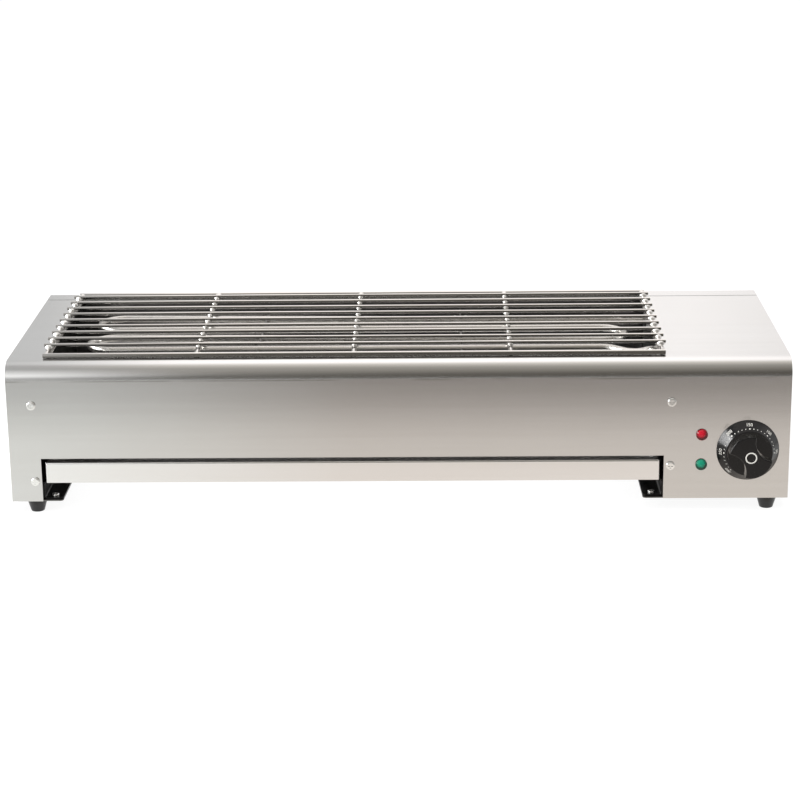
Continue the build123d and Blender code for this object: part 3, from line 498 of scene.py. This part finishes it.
class PatternTree:
    """A geometry tree with named inputs that sets copies of a small shape on points."""

    def __init__(self, name: str, numbers: dict[str, float]) -> None:
        """Makes the tree and its inputs.

        Args:
            name: Name of the tree.
            numbers: The inputs and their values. Whole numbers make whole-number inputs.
        """
        self.tree = bpy.data.node_groups.new(name, "GeometryNodeTree")
        self.numbers = numbers
        interface = self.tree.interface
        interface.new_socket("Geometry", in_out="INPUT", socket_type="NodeSocketGeometry")
        interface.new_socket("Geometry", in_out="OUTPUT", socket_type="NodeSocketGeometry")
        self.identifiers = {}
        for key, value in numbers.items():
            kind = "NodeSocketInt" if isinstance(value, int) else "NodeSocketFloat"
            self.identifiers[key] = interface.new_socket(key, in_out="INPUT", socket_type=kind).identifier
        self.given = add_node(self.tree, "NodeGroupInput").outputs

    def close(self, geometry: Socket, material: bpy.types.Material) -> None:
        """Ends the tree: copies become real faces and get their material."""
        real = add_node(self.tree, "GeometryNodeRealizeInstances", {"Geometry": geometry}).outputs["Geometry"]
        dressed = add_node(self.tree, "GeometryNodeSetMaterial", {"Geometry": real, "Material": material})
        add_node(self.tree, "NodeGroupOutput", {"Geometry": dressed.outputs["Geometry"]})

    def mesh(self, name: str, points: list[Vector]) -> bpy.types.Mesh:
        """Runs the tree on a mesh of bare points.

        Args:
            name: Name of the mesh.
            points: The points that the tree gets. It may make its own instead.

        Returns:
            The tree's result as a plain mesh.
        """
        start = bpy.data.meshes.new(name + "_points")
        start.from_pydata(points, [], [])
        carrier = bpy.data.objects.new(name + "_carrier", start)
        bpy.context.scene.collection.objects.link(carrier)
        modifier = carrier.modifiers.new("pattern", "NODES")
        modifier.node_group = self.tree
        for key, value in self.numbers.items():
            modifier[self.identifiers[key]] = value
        graph = bpy.context.evaluated_depsgraph_get()
        mesh = bpy.data.meshes.new_from_object(carrier.evaluated_get(graph), depsgraph=graph)
        bpy.data.objects.remove(carrier)
        return mesh


def rows(node: str, axis: int, gap: float = 4 * MM) -> list[float]:
    """Finds where the separate rods of a node lie.

    Args:
        node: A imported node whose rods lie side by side.
        axis: Axis across the rods, 0 for X or 1 for Y.
        gap: Least free space between two rods.

    Returns:
        The middle of each rod along the axis, lowest first.
    """
    values = sorted(vertex.co[axis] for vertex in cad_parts[node].data.vertices)
    gaps = [(low, high) for low, high in zip(values, values[1:]) if high - low > gap]
    starts = [values[0]] + [high for _, high in gaps]
    ends = [low for low, _ in gaps] + [values[-1]]
    return [(start + end) / 2 for start, end in zip(starts, ends)]


@dataclass
class Grate:
    """The lift-off grate's spot welds.

    Attributes:
        bar_bead: Half the width of a weld between a bar and a cross rod.
        end_bead: Half the width of a weld at the end of a bar.
        frame_bead: Half the width of a weld between a cross rod and a long rod.
        sink: How far a bar's weld lies below the top of the cross rod.
        detail: Times that a bead's facets are split.
        seed: Seed of the welds' small differences.
        smallest: Size of the smallest bead along each axis, as a share of the mean bead's width.
        largest: Size of the largest bead along each axis, as a share of the mean bead's width.
    """

    bar_bead: float = 2.5 * MM
    end_bead: float = 3.4 * MM
    frame_bead: float = 2.8 * MM
    sink: float = 0.2 * MM
    detail: int = 3
    seed: int = 7
    smallest: Sizes = (0.85, 0.85, 0.65)
    largest: Sizes = (1.15, 1.15, 0.85)

    def beads(self, places: list[Vector], radius: float, seed: int) -> bpy.types.Mesh:
        """Sets a slightly different bead of weld metal on each place.

        Args:
            places: Middles of the beads.
            radius: Half the width of a bead.
            seed: Seed of their differences.

        Returns:
            All the beads as one mesh.
        """
        pattern = PatternTree("weld_beads", {"Bead Radius": radius, "Seed": seed})
        tree, given = pattern.tree, pattern.given
        inputs = {"Radius": given["Bead Radius"], "Subdivisions": self.detail}
        bead = add_node(tree, "GeometryNodeMeshIcoSphere", inputs)
        inputs = {0: self.smallest, 1: self.largest, "Seed": given["Seed"]}
        sizes = add_node(tree, "FunctionNodeRandomValue", inputs, data_type="FLOAT_VECTOR").outputs[0]
        copies = add_node(tree, "GeometryNodeInstanceOnPoints", {
            "Points": given["Geometry"], "Instance": bead.outputs["Mesh"], "Scale": sizes,
        }).outputs["Instances"]
        smooth = add_node(tree, "GeometryNodeSetShadeSmooth", {"Geometry": copies}).outputs["Geometry"]
        pattern.close(smooth, WELD_STEEL.build())
        return pattern.mesh("weld_beads", places)

    def weld(self, name: str, places: list[Vector], radius: float, seed: int) -> None:
        """Keeps one kind of weld as a piece of the grate.

        Args:
            name: Name of the piece.
            places: Middles of its beads.
            radius: Half the width of a bead.
            seed: Seed of their differences.
        """
        keep(name, self.beads(places, radius, seed), WELD_STEEL, "grate")

    def build(self) -> None:
        """Welds the bars to the cross rods, and the cross rods to the long rods."""
        across = rows("grate_cross_rods", 0)
        along = rows("grate_bars", 1)
        rod_low, rod_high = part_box("grate_cross_rods")
        level = rod_high.z - self.sink
        inner = [Vector((x, y, level)) for x in across[1:-1] for y in along]
        self.weld("bar_welds", inner, self.bar_bead, self.seed)
        outer = [Vector((x, y, level)) for x in (across[0], across[-1]) for y in along]
        self.weld("end_welds", outer, self.end_bead, self.seed + 2)
        level = (rod_low.z + rod_high.z) / 2
        places = [Vector((x, y, level)) for x in across for y in (rod_low.y, rod_high.y)]
        self.weld("frame_welds", places, self.frame_bead, self.seed + 1)


@dataclass
class DialScale:
    """White print on the dial's cone: a dot every ten degrees and a number every fifty.

    Attributes:
        first: Lowest number.
        last: Highest number.
        number_step: Step between numbers.
        dot_step: Step between dots.
        turn_per_degree: Angle on the dial for one degree of temperature.
        top_value: Number that stands at the top at rest.
        dot_radius: Radius of a small dot.
        main_dot_growth: How much larger the dot of a number is, as a share.
        dot_sides: Sides of a dot's outline.
        digit_height: Height of the digits.
        digit_squeeze: Width of the digits as a share of the plain letterform's.
        digit_share: Height of a digit as a share of the letterform's size.
        digit_steps: Straight steps in each of a digit's curves.
        ring_radius: Radius of the plain ring on the grip's end.
        ring_width: Width of that ring.
        ring_lift: How far it stands out, little enough to leave the part's box as it is.
        ring_sides: Sides of its outline.
        print_height: Thickness of the ink.
        dot_share: How far up the cone the dots lie, from its rim to its top.
        number_share: How far up the cone the numbers' middles lie.
        rim_depth: Distance of the cone's rim from the panel.
        cone_depth: Depth of the cone.
        rim_radius: Radius of the cone's rim.
        top_radius: Radius of the cone's top.
    """

    first: int = 50
    last: int = 300
    number_step: int = 50
    dot_step: int = 10
    turn_per_degree: float = 0.9
    top_value: int = 150
    dot_radius: float = 0.48 * MM
    main_dot_growth: float = 0.5
    dot_sides: int = 14
    digit_height: float = 3.7 * MM
    digit_squeeze: float = 0.8
    digit_share: float = 0.73
    digit_steps: int = 3
    ring_radius: float = 5.2 * MM
    ring_width: float = 1.1 * MM
    ring_lift: float = 0.008 * MM
    ring_sides: int = 64
    print_height: float = 0.04 * MM
    dot_share: float = 0.78
    number_share: float = 0.42
    rim_depth: float = 5.5 * MM
    cone_depth: float = 10.5 * MM
    rim_radius: float = 27.9 * MM
    top_radius: float = 20.7 * MM

    def angle(self, value: float) -> float:
        """Place of a temperature on the dial, counted from +X towards the top."""
        return math.radians(90 + (value - self.top_value) * self.turn_per_degree)

    def hub(self) -> Vector:
        """Where the dial's axis meets the front panel."""
        place = middle("control_knob")
        place.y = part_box("front_top_shell")[0].y
        return place

    def wrap(self, flat: Vector, value: float, hub: Vector) -> Vector:
        """Lays one point of a flat number on the cone.

        Args:
            flat: The point in the number's drawing: to its right, to its top, and above the paper.
            value: Temperature that the number stands for.
            hub: Where the dial's axis meets the panel.

        Returns:
            The point's place. The number's top points to the dial's rim.
        """
        slope = Vector((self.rim_radius - self.top_radius, self.cone_depth))
        share = self.number_share - flat.y / slope.length
        radius = self.rim_radius - slope.x * share
        turn = self.angle(value) - flat.x / radius
        radial = Vector((math.cos(turn), 0, math.sin(turn)))
        outward = Vector((0, -1, 0))
        lean = slope.normalized()
        lift = (radial * lean.y + outward * lean.x) * flat.z
        depth = self.rim_depth + self.cone_depth * share
        return hub + radial * radius + outward * depth + lift

    def digits(self, value: int) -> bpy.types.Mesh:
        """One number as raised print on the cone."""
        curve = bpy.data.curves.new(f"digits_{value}", "FONT")
        curve.body = str(value)
        curve.align_x = "CENTER"
        curve.align_y = "CENTER"
        curve.size = self.digit_height / self.digit_share
        curve.extrude = self.print_height
        curve.resolution_u = self.digit_steps
        text = bpy.data.objects.new("digits", curve)
        bpy.context.scene.collection.objects.link(text)
        graph = bpy.context.evaluated_depsgraph_get()
        mesh = bpy.data.meshes.new_from_object(text.evaluated_get(graph), depsgraph=graph)
        bpy.data.objects.remove(text)
        hub = self.hub()
        for vertex in mesh.vertices:
            x, y, z = vertex.co
            vertex.co = self.wrap(Vector((x * self.digit_squeeze, y, z + self.print_height)), value, hub)
        return mesh

    def dots(self) -> bpy.types.Mesh:
        """All dots, larger where a number stands."""
        steps = (self.last - self.first) // self.dot_step
        numbers = {
            "Dots": steps + 1, "First Angle": self.angle(self.first),
            "Step": math.radians(self.dot_step * self.turn_per_degree),
            "Dot Radius": self.dot_radius, "Thickness": 2 * self.print_height,
            "Ring Radius": self.rim_radius + (self.top_radius - self.rim_radius) * self.dot_share,
            "Main Every": self.number_step // self.dot_step,
        }
        pattern = PatternTree("scale_dots", numbers)
        tree, given = pattern.tree, pattern.given
        points = add_node(tree, "GeometryNodePoints", {"Count": given["Dots"]}).outputs["Geometry"]
        index = add_node(tree, "GeometryNodeInputIndex").outputs["Index"]
        inputs = {0: index, 1: given["Step"], 2: given["First Angle"]}
        turn = add_node(tree, "ShaderNodeMath", inputs, operation="MULTIPLY_ADD").outputs[0]
        across = add_node(tree, "ShaderNodeMath", {0: turn}, operation="COSINE").outputs[0]
        upright = add_node(tree, "ShaderNodeMath", {0: turn}, operation="SINE").outputs[0]
        unit = add_node(tree, "ShaderNodeCombineXYZ", {"X": across, "Z": upright}).outputs[0]
        inputs = {0: unit, "Scale": given["Ring Radius"]}
        place = add_node(tree, "ShaderNodeVectorMath", inputs, operation="SCALE").outputs[0]
        set_points = add_node(tree, "GeometryNodeSetPosition", {"Geometry": points, "Position": place})
        lean = Vector((self.cone_depth, self.top_radius - self.rim_radius)).normalized()
        inputs = {0: unit, "Scale": lean.x}
        tilted = add_node(tree, "ShaderNodeVectorMath", inputs, operation="SCALE").outputs[0]
        inputs = {0: tilted, 1: (0, lean.y, 0)}
        normal = add_node(tree, "ShaderNodeVectorMath", inputs, operation="ADD").outputs[0]
        facing = add_node(tree, "FunctionNodeAlignRotationToVector", {"Vector": normal}, axis="Z").outputs[0]
        inputs = {0: index, 1: given["Main Every"]}
        rest = add_node(tree, "ShaderNodeMath", inputs, operation="MODULO").outputs[0]
        main = add_node(tree, "ShaderNodeMath", {0: rest, 1: 0.5}, operation="LESS_THAN").outputs[0]
        inputs = {0: main, 1: self.main_dot_growth, 2: 1.0}
        growth = add_node(tree, "ShaderNodeMath", inputs, operation="MULTIPLY_ADD").outputs[0]
        sizes = add_node(tree, "ShaderNodeCombineXYZ", {"X": growth, "Y": growth, "Z": 1.0}).outputs[0]
        disc = add_node(tree, "GeometryNodeMeshCylinder", {
            "Vertices": self.dot_sides, "Radius": given["Dot Radius"], "Depth": given["Thickness"],
        }).outputs["Mesh"]
        copies = add_node(tree, "GeometryNodeInstanceOnPoints", {
            "Points": set_points.outputs["Geometry"], "Instance": disc, "Rotation": facing, "Scale": sizes,
        }).outputs["Instances"]
        pattern.close(copies, PRINT_INK.build())
        mesh = pattern.mesh("scale_dots", [])
        depth = self.rim_depth + self.cone_depth * self.dot_share
        mesh.transform(Matrix.Translation(self.hub() - Vector((0, depth, 0))))
        return mesh

    def ring(self) -> bpy.types.Mesh:
        """A plain ring in the middle of the grip's end."""
        hub = middle("control_knob")
        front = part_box("control_knob")[0].y
        inner = self.ring_radius - self.ring_width
        profile = (
            (self.ring_radius, self.print_height), (self.ring_radius, -self.ring_lift),
            (inner, -self.ring_lift), (inner, self.print_height),
        )
        corners = len(profile)
        points, faces = [], []
        for n in range(self.ring_sides):
            turn = math.tau * n / self.ring_sides
            points += [
                (hub.x + radius * math.cos(turn), front + depth, hub.z + radius * math.sin(turn))
                for radius, depth in profile
            ]
            here, after = n * corners, (n + 1) % self.ring_sides * corners
            faces += [
                (here + side, here + (side + 1) % corners, after + (side + 1) % corners, after + side)
                for side in range(corners)
            ]
        mesh = bpy.data.meshes.new("dial_ring")
        mesh.from_pydata(points, [], faces)
        return mesh

    def numbers(self) -> bpy.types.Mesh:
        """All numbers as one mesh."""
        shape = bmesh.new()
        for value in range(self.first, self.last + 1, self.number_step):
            shape.from_mesh(self.digits(value))
        joined = bpy.data.meshes.new("dial_numbers")
        shape.to_mesh(joined)
        shape.free()
        return joined

    def build(self) -> None:
        """Prints the scale on the dial."""
        keep("dial_dots", self.dots(), PRINT_INK, "dial")
        keep("dial_numbers", self.numbers(), PRINT_INK, "dial")
        keep("dial_ring", self.ring(), PRINT_INK, "dial")
        # The brushed panel scatters the image of what stands close to it, so it doesn't mirror the dial.
        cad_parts["control_knob"].visible_glossy = False


def empty_material(name: str) -> bpy.types.Material:
    """A new material without any node."""
    material = bpy.data.materials.new(name)
    material.use_nodes = True
    material.node_tree.nodes.clear()
    return material


def only_mirrored(mesh: bpy.types.Mesh, colour: Colour | str, power: float) -> None:
    """Makes a mesh a glowing board that nothing but reflections sees.

    Args:
        mesh: The board's mesh, which names it.
        colour: Colour of its light, or the name of the mesh's attribute that holds it.
        power: Strength of its light where the colour is white.
    """
    material = empty_material(mesh.name)
    tree = material.node_tree
    light = colour
    if isinstance(colour, str):
        light = add_node(tree, "ShaderNodeAttribute", attribute_name=colour).outputs["Color"]
    glow = add_node(tree, "ShaderNodeEmission", {"Color": light, "Strength": power})
    add_node(tree, "ShaderNodeOutputMaterial", {"Surface": glow.outputs["Emission"]})
    mesh.materials.append(material)
    board = bpy.data.objects.new(mesh.name, mesh)
    bpy.context.scene.collection.objects.link(board)
    board.visible_camera = False
    board.visible_diffuse = False
    board.visible_shadow = False
    board.visible_transmission = False


@dataclass(frozen=True)
class LampFace:
    """The bright face of a lamp at the side, for the glare on what is round or points sideways.

    Attributes:
        name: Name of the lamp's face.
        corners: Its corners in order, in metres.
        power: Strength of its light.
    """

    name: str
    corners: tuple[Sizes, Sizes, Sizes, Sizes]
    power: float

    def build(self) -> None:
        """Stands the lamp's face up."""
        mesh = bpy.data.meshes.new(self.name)
        mesh.from_pydata([Vector(corner) for corner in self.corners], [], [(0, 1, 2, 3)])
        only_mirrored(mesh, srgb("FFFFFF"), self.power)


@dataclass(frozen=True)
class TentStop:
    """One line along the light tent, from its left end to its right end.

    Attributes:
        ahead: How far it lies in front of the tent's axis, as a share of the tent's radius.
        up: How high it lies, as a share of the tent's radius.
        left: Its colour at the left.
        right: Its colour in the middle and at the right.
    """

    ahead: float
    up: float
    left: str
    right: str


@dataclass(frozen=True)
class LightTent:
    """Cloth round the set that the steel mirrors: dark in front, grey above, bright behind.

    Only reflections see it. Its left part is lit differently, which gives the sheet its change of tone.

    Attributes:
        name: Name of this part of the tent.
        stops: Lines along the tent, from the grill's front over the top to its back.
        radius: Distance of its cloth from the grill, in metres.
        reach: Half its length, in metres.
        left_end: Where the left part ends, in metres.
        right_start: Where the right part starts, in metres.
        fade: Where the right part fades, and where it is faded, in metres.
        faded: Share of its light that is left where it is faded.
        axis: Height of its axis above the floor, in metres.
        power: Strength of its light where its colour is white.
        steps: Strips between two stops.
    """

    name: str
    stops: tuple[TentStop, ...]
    left_end: float = -0.52
    right_start: float = -0.33
    fade: tuple[float, float] = (0.4, 0.62)
    faded: float = 0.82
    radius: float = 1.2
    reach: float = 3.0
    axis: float = 0.001
    power: float = 1.6
    steps: int = 4

    def columns(self) -> list[tuple[float, float, float]]:
        """Places across the tent, and each one's share of the right part and share of the light."""
        between = (self.left_end + self.right_start) / 2
        return [
            (-self.reach, 0.0, 1.0), (self.left_end, 0.0, 1.0), (between, 0.5, 1.0),
            (self.right_start, 1.0, 1.0), (self.fade[0], 1.0, 1.0), (self.fade[1], 1.0, self.faded),
            (self.reach, 1.0, self.faded),
        ]

    def lines(self) -> list[tuple[Vector, Colour, Colour]]:
        """Place and colours of each line along the tent, with soft steps between the stops."""
        lines = []
        for first, second in zip(self.stops, self.stops[1:]):
            for step in range(self.steps):
                share = step / self.steps
                start, end = Vector((0, -first.ahead, first.up)), Vector((0, -second.ahead, second.up))
                length = start.length + (end.length - start.length) * share
                place = start.lerp(end, share)
                if min(first.up, second.up) > 0:
                    place = place.normalized() * length
                left = Vector(srgb(first.left)).lerp(Vector(srgb(second.left)), share)
                right = Vector(srgb(first.right)).lerp(Vector(srgb(second.right)), share)
                lines.append((place * self.radius + Vector((0, 0, self.axis)), left, right))
        return lines

    def build(self) -> None:
        """Hangs the cloth."""
        columns, lines = self.columns(), self.lines()
        points, colours = [], []
        for place, left, right in lines:
            for x, share, light in columns:
                points.append((x, place.y, place.z))
                colours.extend(left.lerp(right, share) * light)
        across = len(columns)
        faces = [
            (row * across + n, row * across + n + 1, (row + 1) * across + n + 1, (row + 1) * across + n)
            for row in range(len(lines) - 1) for n in range(across - 1)
        ]
        mesh = bpy.data.meshes.new(self.name)
        mesh.from_pydata(points, [], faces)
        mesh.attributes.new("light", "FLOAT_COLOR", "POINT").data.foreach_set("color", colours)
        only_mirrored(mesh, "light", self.power)


@dataclass(frozen=True)
class Softbox:
    """A soft lamp aimed at the middle of the grill, which the steel doesn't mirror.

    Attributes:
        name: Name of the lamp.
        place: Where it hangs, in metres.
        size: Its width and height, in metres.
        power: Its power in watts.
    """

    name: str
    place: Sizes
    size: tuple[float, float]
    power: float

    def build(self) -> None:
        """Hangs the lamp."""
        light = bpy.data.lights.new(self.name, "AREA")
        light.shape = "RECTANGLE"
        light.size, light.size_y = self.size
        light.energy = self.power
        lamp = bpy.data.objects.new(self.name, light)
        bpy.context.scene.collection.objects.link(lamp)
        aim = Vector((0, 0, 0.08)) - Vector(self.place)
        lamp.matrix_world = Matrix.Translation(self.place) @ aim.to_track_quat("-Z", "Y").to_matrix().to_4x4()
        lamp.visible_glossy = False


@dataclass
class Studio:
    """White floor, even white surroundings, soft lamps and the tent that the steel mirrors.

    Attributes:
        reach: Half the width of the floor, in metres.
        glow: Share of the floor's white that doesn't depend on the lamps, so that its shadows stay soft.
        faint: How much of the lamps' light the floor sends back to the camera.
        ambient: Light from all round on matt surfaces.
    """

    reach: float = 9.0
    glow: float = 0.91
    faint: float = 0.2
    ambient: float = 0.55

    def direct(self, tree: bpy.types.NodeTree) -> Socket:
        """Value that is 1 for what the camera sees, straight, in a mirror or through glass."""
        path = add_node(tree, "ShaderNodeLightPath").outputs
        inputs = {0: path["Is Camera Ray"], 1: path["Is Glossy Ray"]}
        seen = add_node(tree, "ShaderNodeMath", inputs, operation="MAXIMUM")
        inputs = {0: seen.outputs[0], 1: path["Is Transmission Ray"]}
        return add_node(tree, "ShaderNodeMath", inputs, operation="MAXIMUM").outputs[0]

    def floor(self) -> None:
        """Lays the floor."""
        mesh = bpy.data.meshes.new("floor")
        low, high = -self.reach, self.reach
        mesh.from_pydata([(low, low, 0), (high, low, 0), (high, high, 0), (low, high, 0)], [], [(0, 1, 2, 3)])
        material = empty_material("paper_white_matt")
        tree = material.node_tree
        matt = add_node(tree, "ShaderNodeBsdfDiffuse", {"Color": srgb("E4E4E4")}).outputs[0]
        faint = add_node(tree, "ShaderNodeBsdfDiffuse", {"Color": (*[self.faint] * 3, 1)}).outputs[0]
        inputs = {"Color": srgb("FFFFFF"), "Strength": self.glow}
        white = add_node(tree, "ShaderNodeEmission", inputs).outputs[0]
        lit = add_node(tree, "ShaderNodeAddShader", {0: faint, 1: white}).outputs[0]
        mixed = add_node(tree, "ShaderNodeMixShader", {0: self.direct(tree), 1: matt, 2: lit}).outputs[0]
        add_node(tree, "ShaderNodeOutputMaterial", {"Surface": mixed})
        mesh.materials.append(material)
        floor = bpy.data.objects.new("floor", mesh)
        bpy.context.scene.collection.objects.link(floor)

    def surroundings(self) -> None:
        """Lights the set evenly from all round."""
        world = bpy.data.worlds.new("white_room")
        world.use_nodes = True
        tree = world.node_tree
        tree.nodes.clear()
        inputs = {"Value": self.direct(tree), "To Min": self.ambient, "To Max": 1.0}
        level = add_node(tree, "ShaderNodeMapRange", inputs).outputs["Result"]
        white = add_node(tree, "ShaderNodeBackground", {"Color": srgb("FFFFFF"), "Strength": level})
        add_node(tree, "ShaderNodeOutputWorld", {"Surface": white.outputs["Background"]})
        bpy.context.scene.world = world

    def build(self) -> None:
        """Sets up the whole studio."""
        self.floor()
        self.surroundings()
        Softbox("overhead_softbox", (-0.3, -0.35, 1.9), (2.2, 1.2), 38.0).build()
        Softbox("left_softbox", (-1.5, -1.3, 1.0), (0.5, 0.9), 12.0).build()
        LampFace("left_lamp_face", (
            (-1.3, 0.4, 0.15), (-1.3, -0.4, 0.15), (-1.3, -0.4, 1.9), (-1.3, 0.4, 1.9),
        ), 19.0).build()
        LampFace("front_lamp_face", (
            (-1.5, -0.9, 0.35), (-0.8, -1.3, 0.35), (-0.8, -1.3, 1.1), (-1.5, -0.9, 1.1),
        ), 9.0).build()
        LightTent("tent_floor", (
            TentStop(0.108, 0.0, "CACAC7", "BDB6AF"),
            TentStop(0.3, 0.0, "C9C9C5", "BAB3AD"),
            TentStop(0.4, 0.0, "A7A7A5", "89837E"),
            TentStop(0.52, 0.0, "969694", "625E5B"),
            TentStop(1.0, 0.0, "828280", "4E4B48"),
        ), left_end=-0.36, right_start=-0.05, faded=1.0).build()
        LightTent("tent_floor_rear", (
            TentStop(-0.115, 0.0, "B7B6B3", "B7B6B3"),
            TentStop(-0.35, 0.0, "A3A29F", "A3A29F"),
            TentStop(-0.95, 0.0, "8E8D8B", "8E8D8B"),
        ), faded=1.0).build()
        LightTent("tent_arch", (
            TentStop(1.0, 0.0, "828280", "4E4B48"),
            TentStop(0.99, 0.12, "A5A5A5", "4C4944"),
            TentStop(0.94, 0.34, "E9E9E9", "53504B"),
            TentStop(0.80, 0.60, "CACACA", "716D67"),
            TentStop(0.50, 0.87, "8C8C8C", "8B8882"),
            TentStop(0.14, 0.99, "8C8C8C", "BFBAB3"),
            TentStop(-0.10, 0.99, "A7A7A7", "F5F1F0"),
            TentStop(-0.34, 0.94, "B1B1B1", "FCF8F7"),
            TentStop(-0.60, 0.80, "ACACAC", "F1EDEC"),
            TentStop(-0.87, 0.50, "ACACAC", "DFDCDB"),
            TentStop(-1.0, 0.0, "A8A8A8", "DDDAD9"),
        )).build()


@dataclass(frozen=True)
class Viewpoint:
    """The photograph's camera.

    Attributes:
        place: Where it stands, in metres.
        down: How far it looks down, in degrees.
        turn: How far it is turned to the right of straight ahead, in degrees.
        roll: How far it leans, in degrees.
        lens: Focal length in millimetres on a sensor 36 mm wide.
        shift: Offset of the frame as a share of its width.
    """

    place: Sizes = (0.038, -2.037, 0.681)
    down: float = 16.77
    turn: float = -1.17
    roll: float = -0.68
    lens: float = 100.71
    shift: tuple[float, float] = (0.0044, 0.0004)

    def build(self) -> None:
        """Sets up the camera and makes it the scene's own."""
        down, turn, roll = (math.radians(angle) for angle in (self.down, self.turn, self.roll))
        ahead = Vector((math.sin(turn) * math.cos(down), math.cos(turn) * math.cos(down), -math.sin(down)))
        level = Vector((math.cos(turn), -math.sin(turn), 0))
        upright = level.cross(ahead)
        right = math.cos(roll) * level + math.sin(roll) * upright
        up = math.cos(roll) * upright - math.sin(roll) * level
        data = bpy.data.cameras.new("photo_camera")
        data.sensor_width = 36.0
        data.lens = self.lens
        data.shift_x, data.shift_y = self.shift
        camera = bpy.data.objects.new("photo_camera", data)
        bpy.context.scene.collection.objects.link(camera)
        matrix = Matrix((right, up, -ahead)).transposed().to_4x4()
        matrix.translation = Vector(self.place)
        camera.matrix_world = matrix
        bpy.context.scene.camera = camera


def write_sizes() -> None:
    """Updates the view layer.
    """
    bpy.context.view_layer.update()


def main() -> None:
    """Builds the looks of the grill, its studio and its camera."""
    logging.basicConfig(level=logging.INFO, format="%(name)s: %(message)s")
    bpy.context.scene.view_settings.view_transform = "Standard"
    Viewpoint().build()
    dress_nodes()
    Grate().build()
    DialScale().build()
    Studio().build()
    write_sizes()


if __name__ == "__main__":
    main()
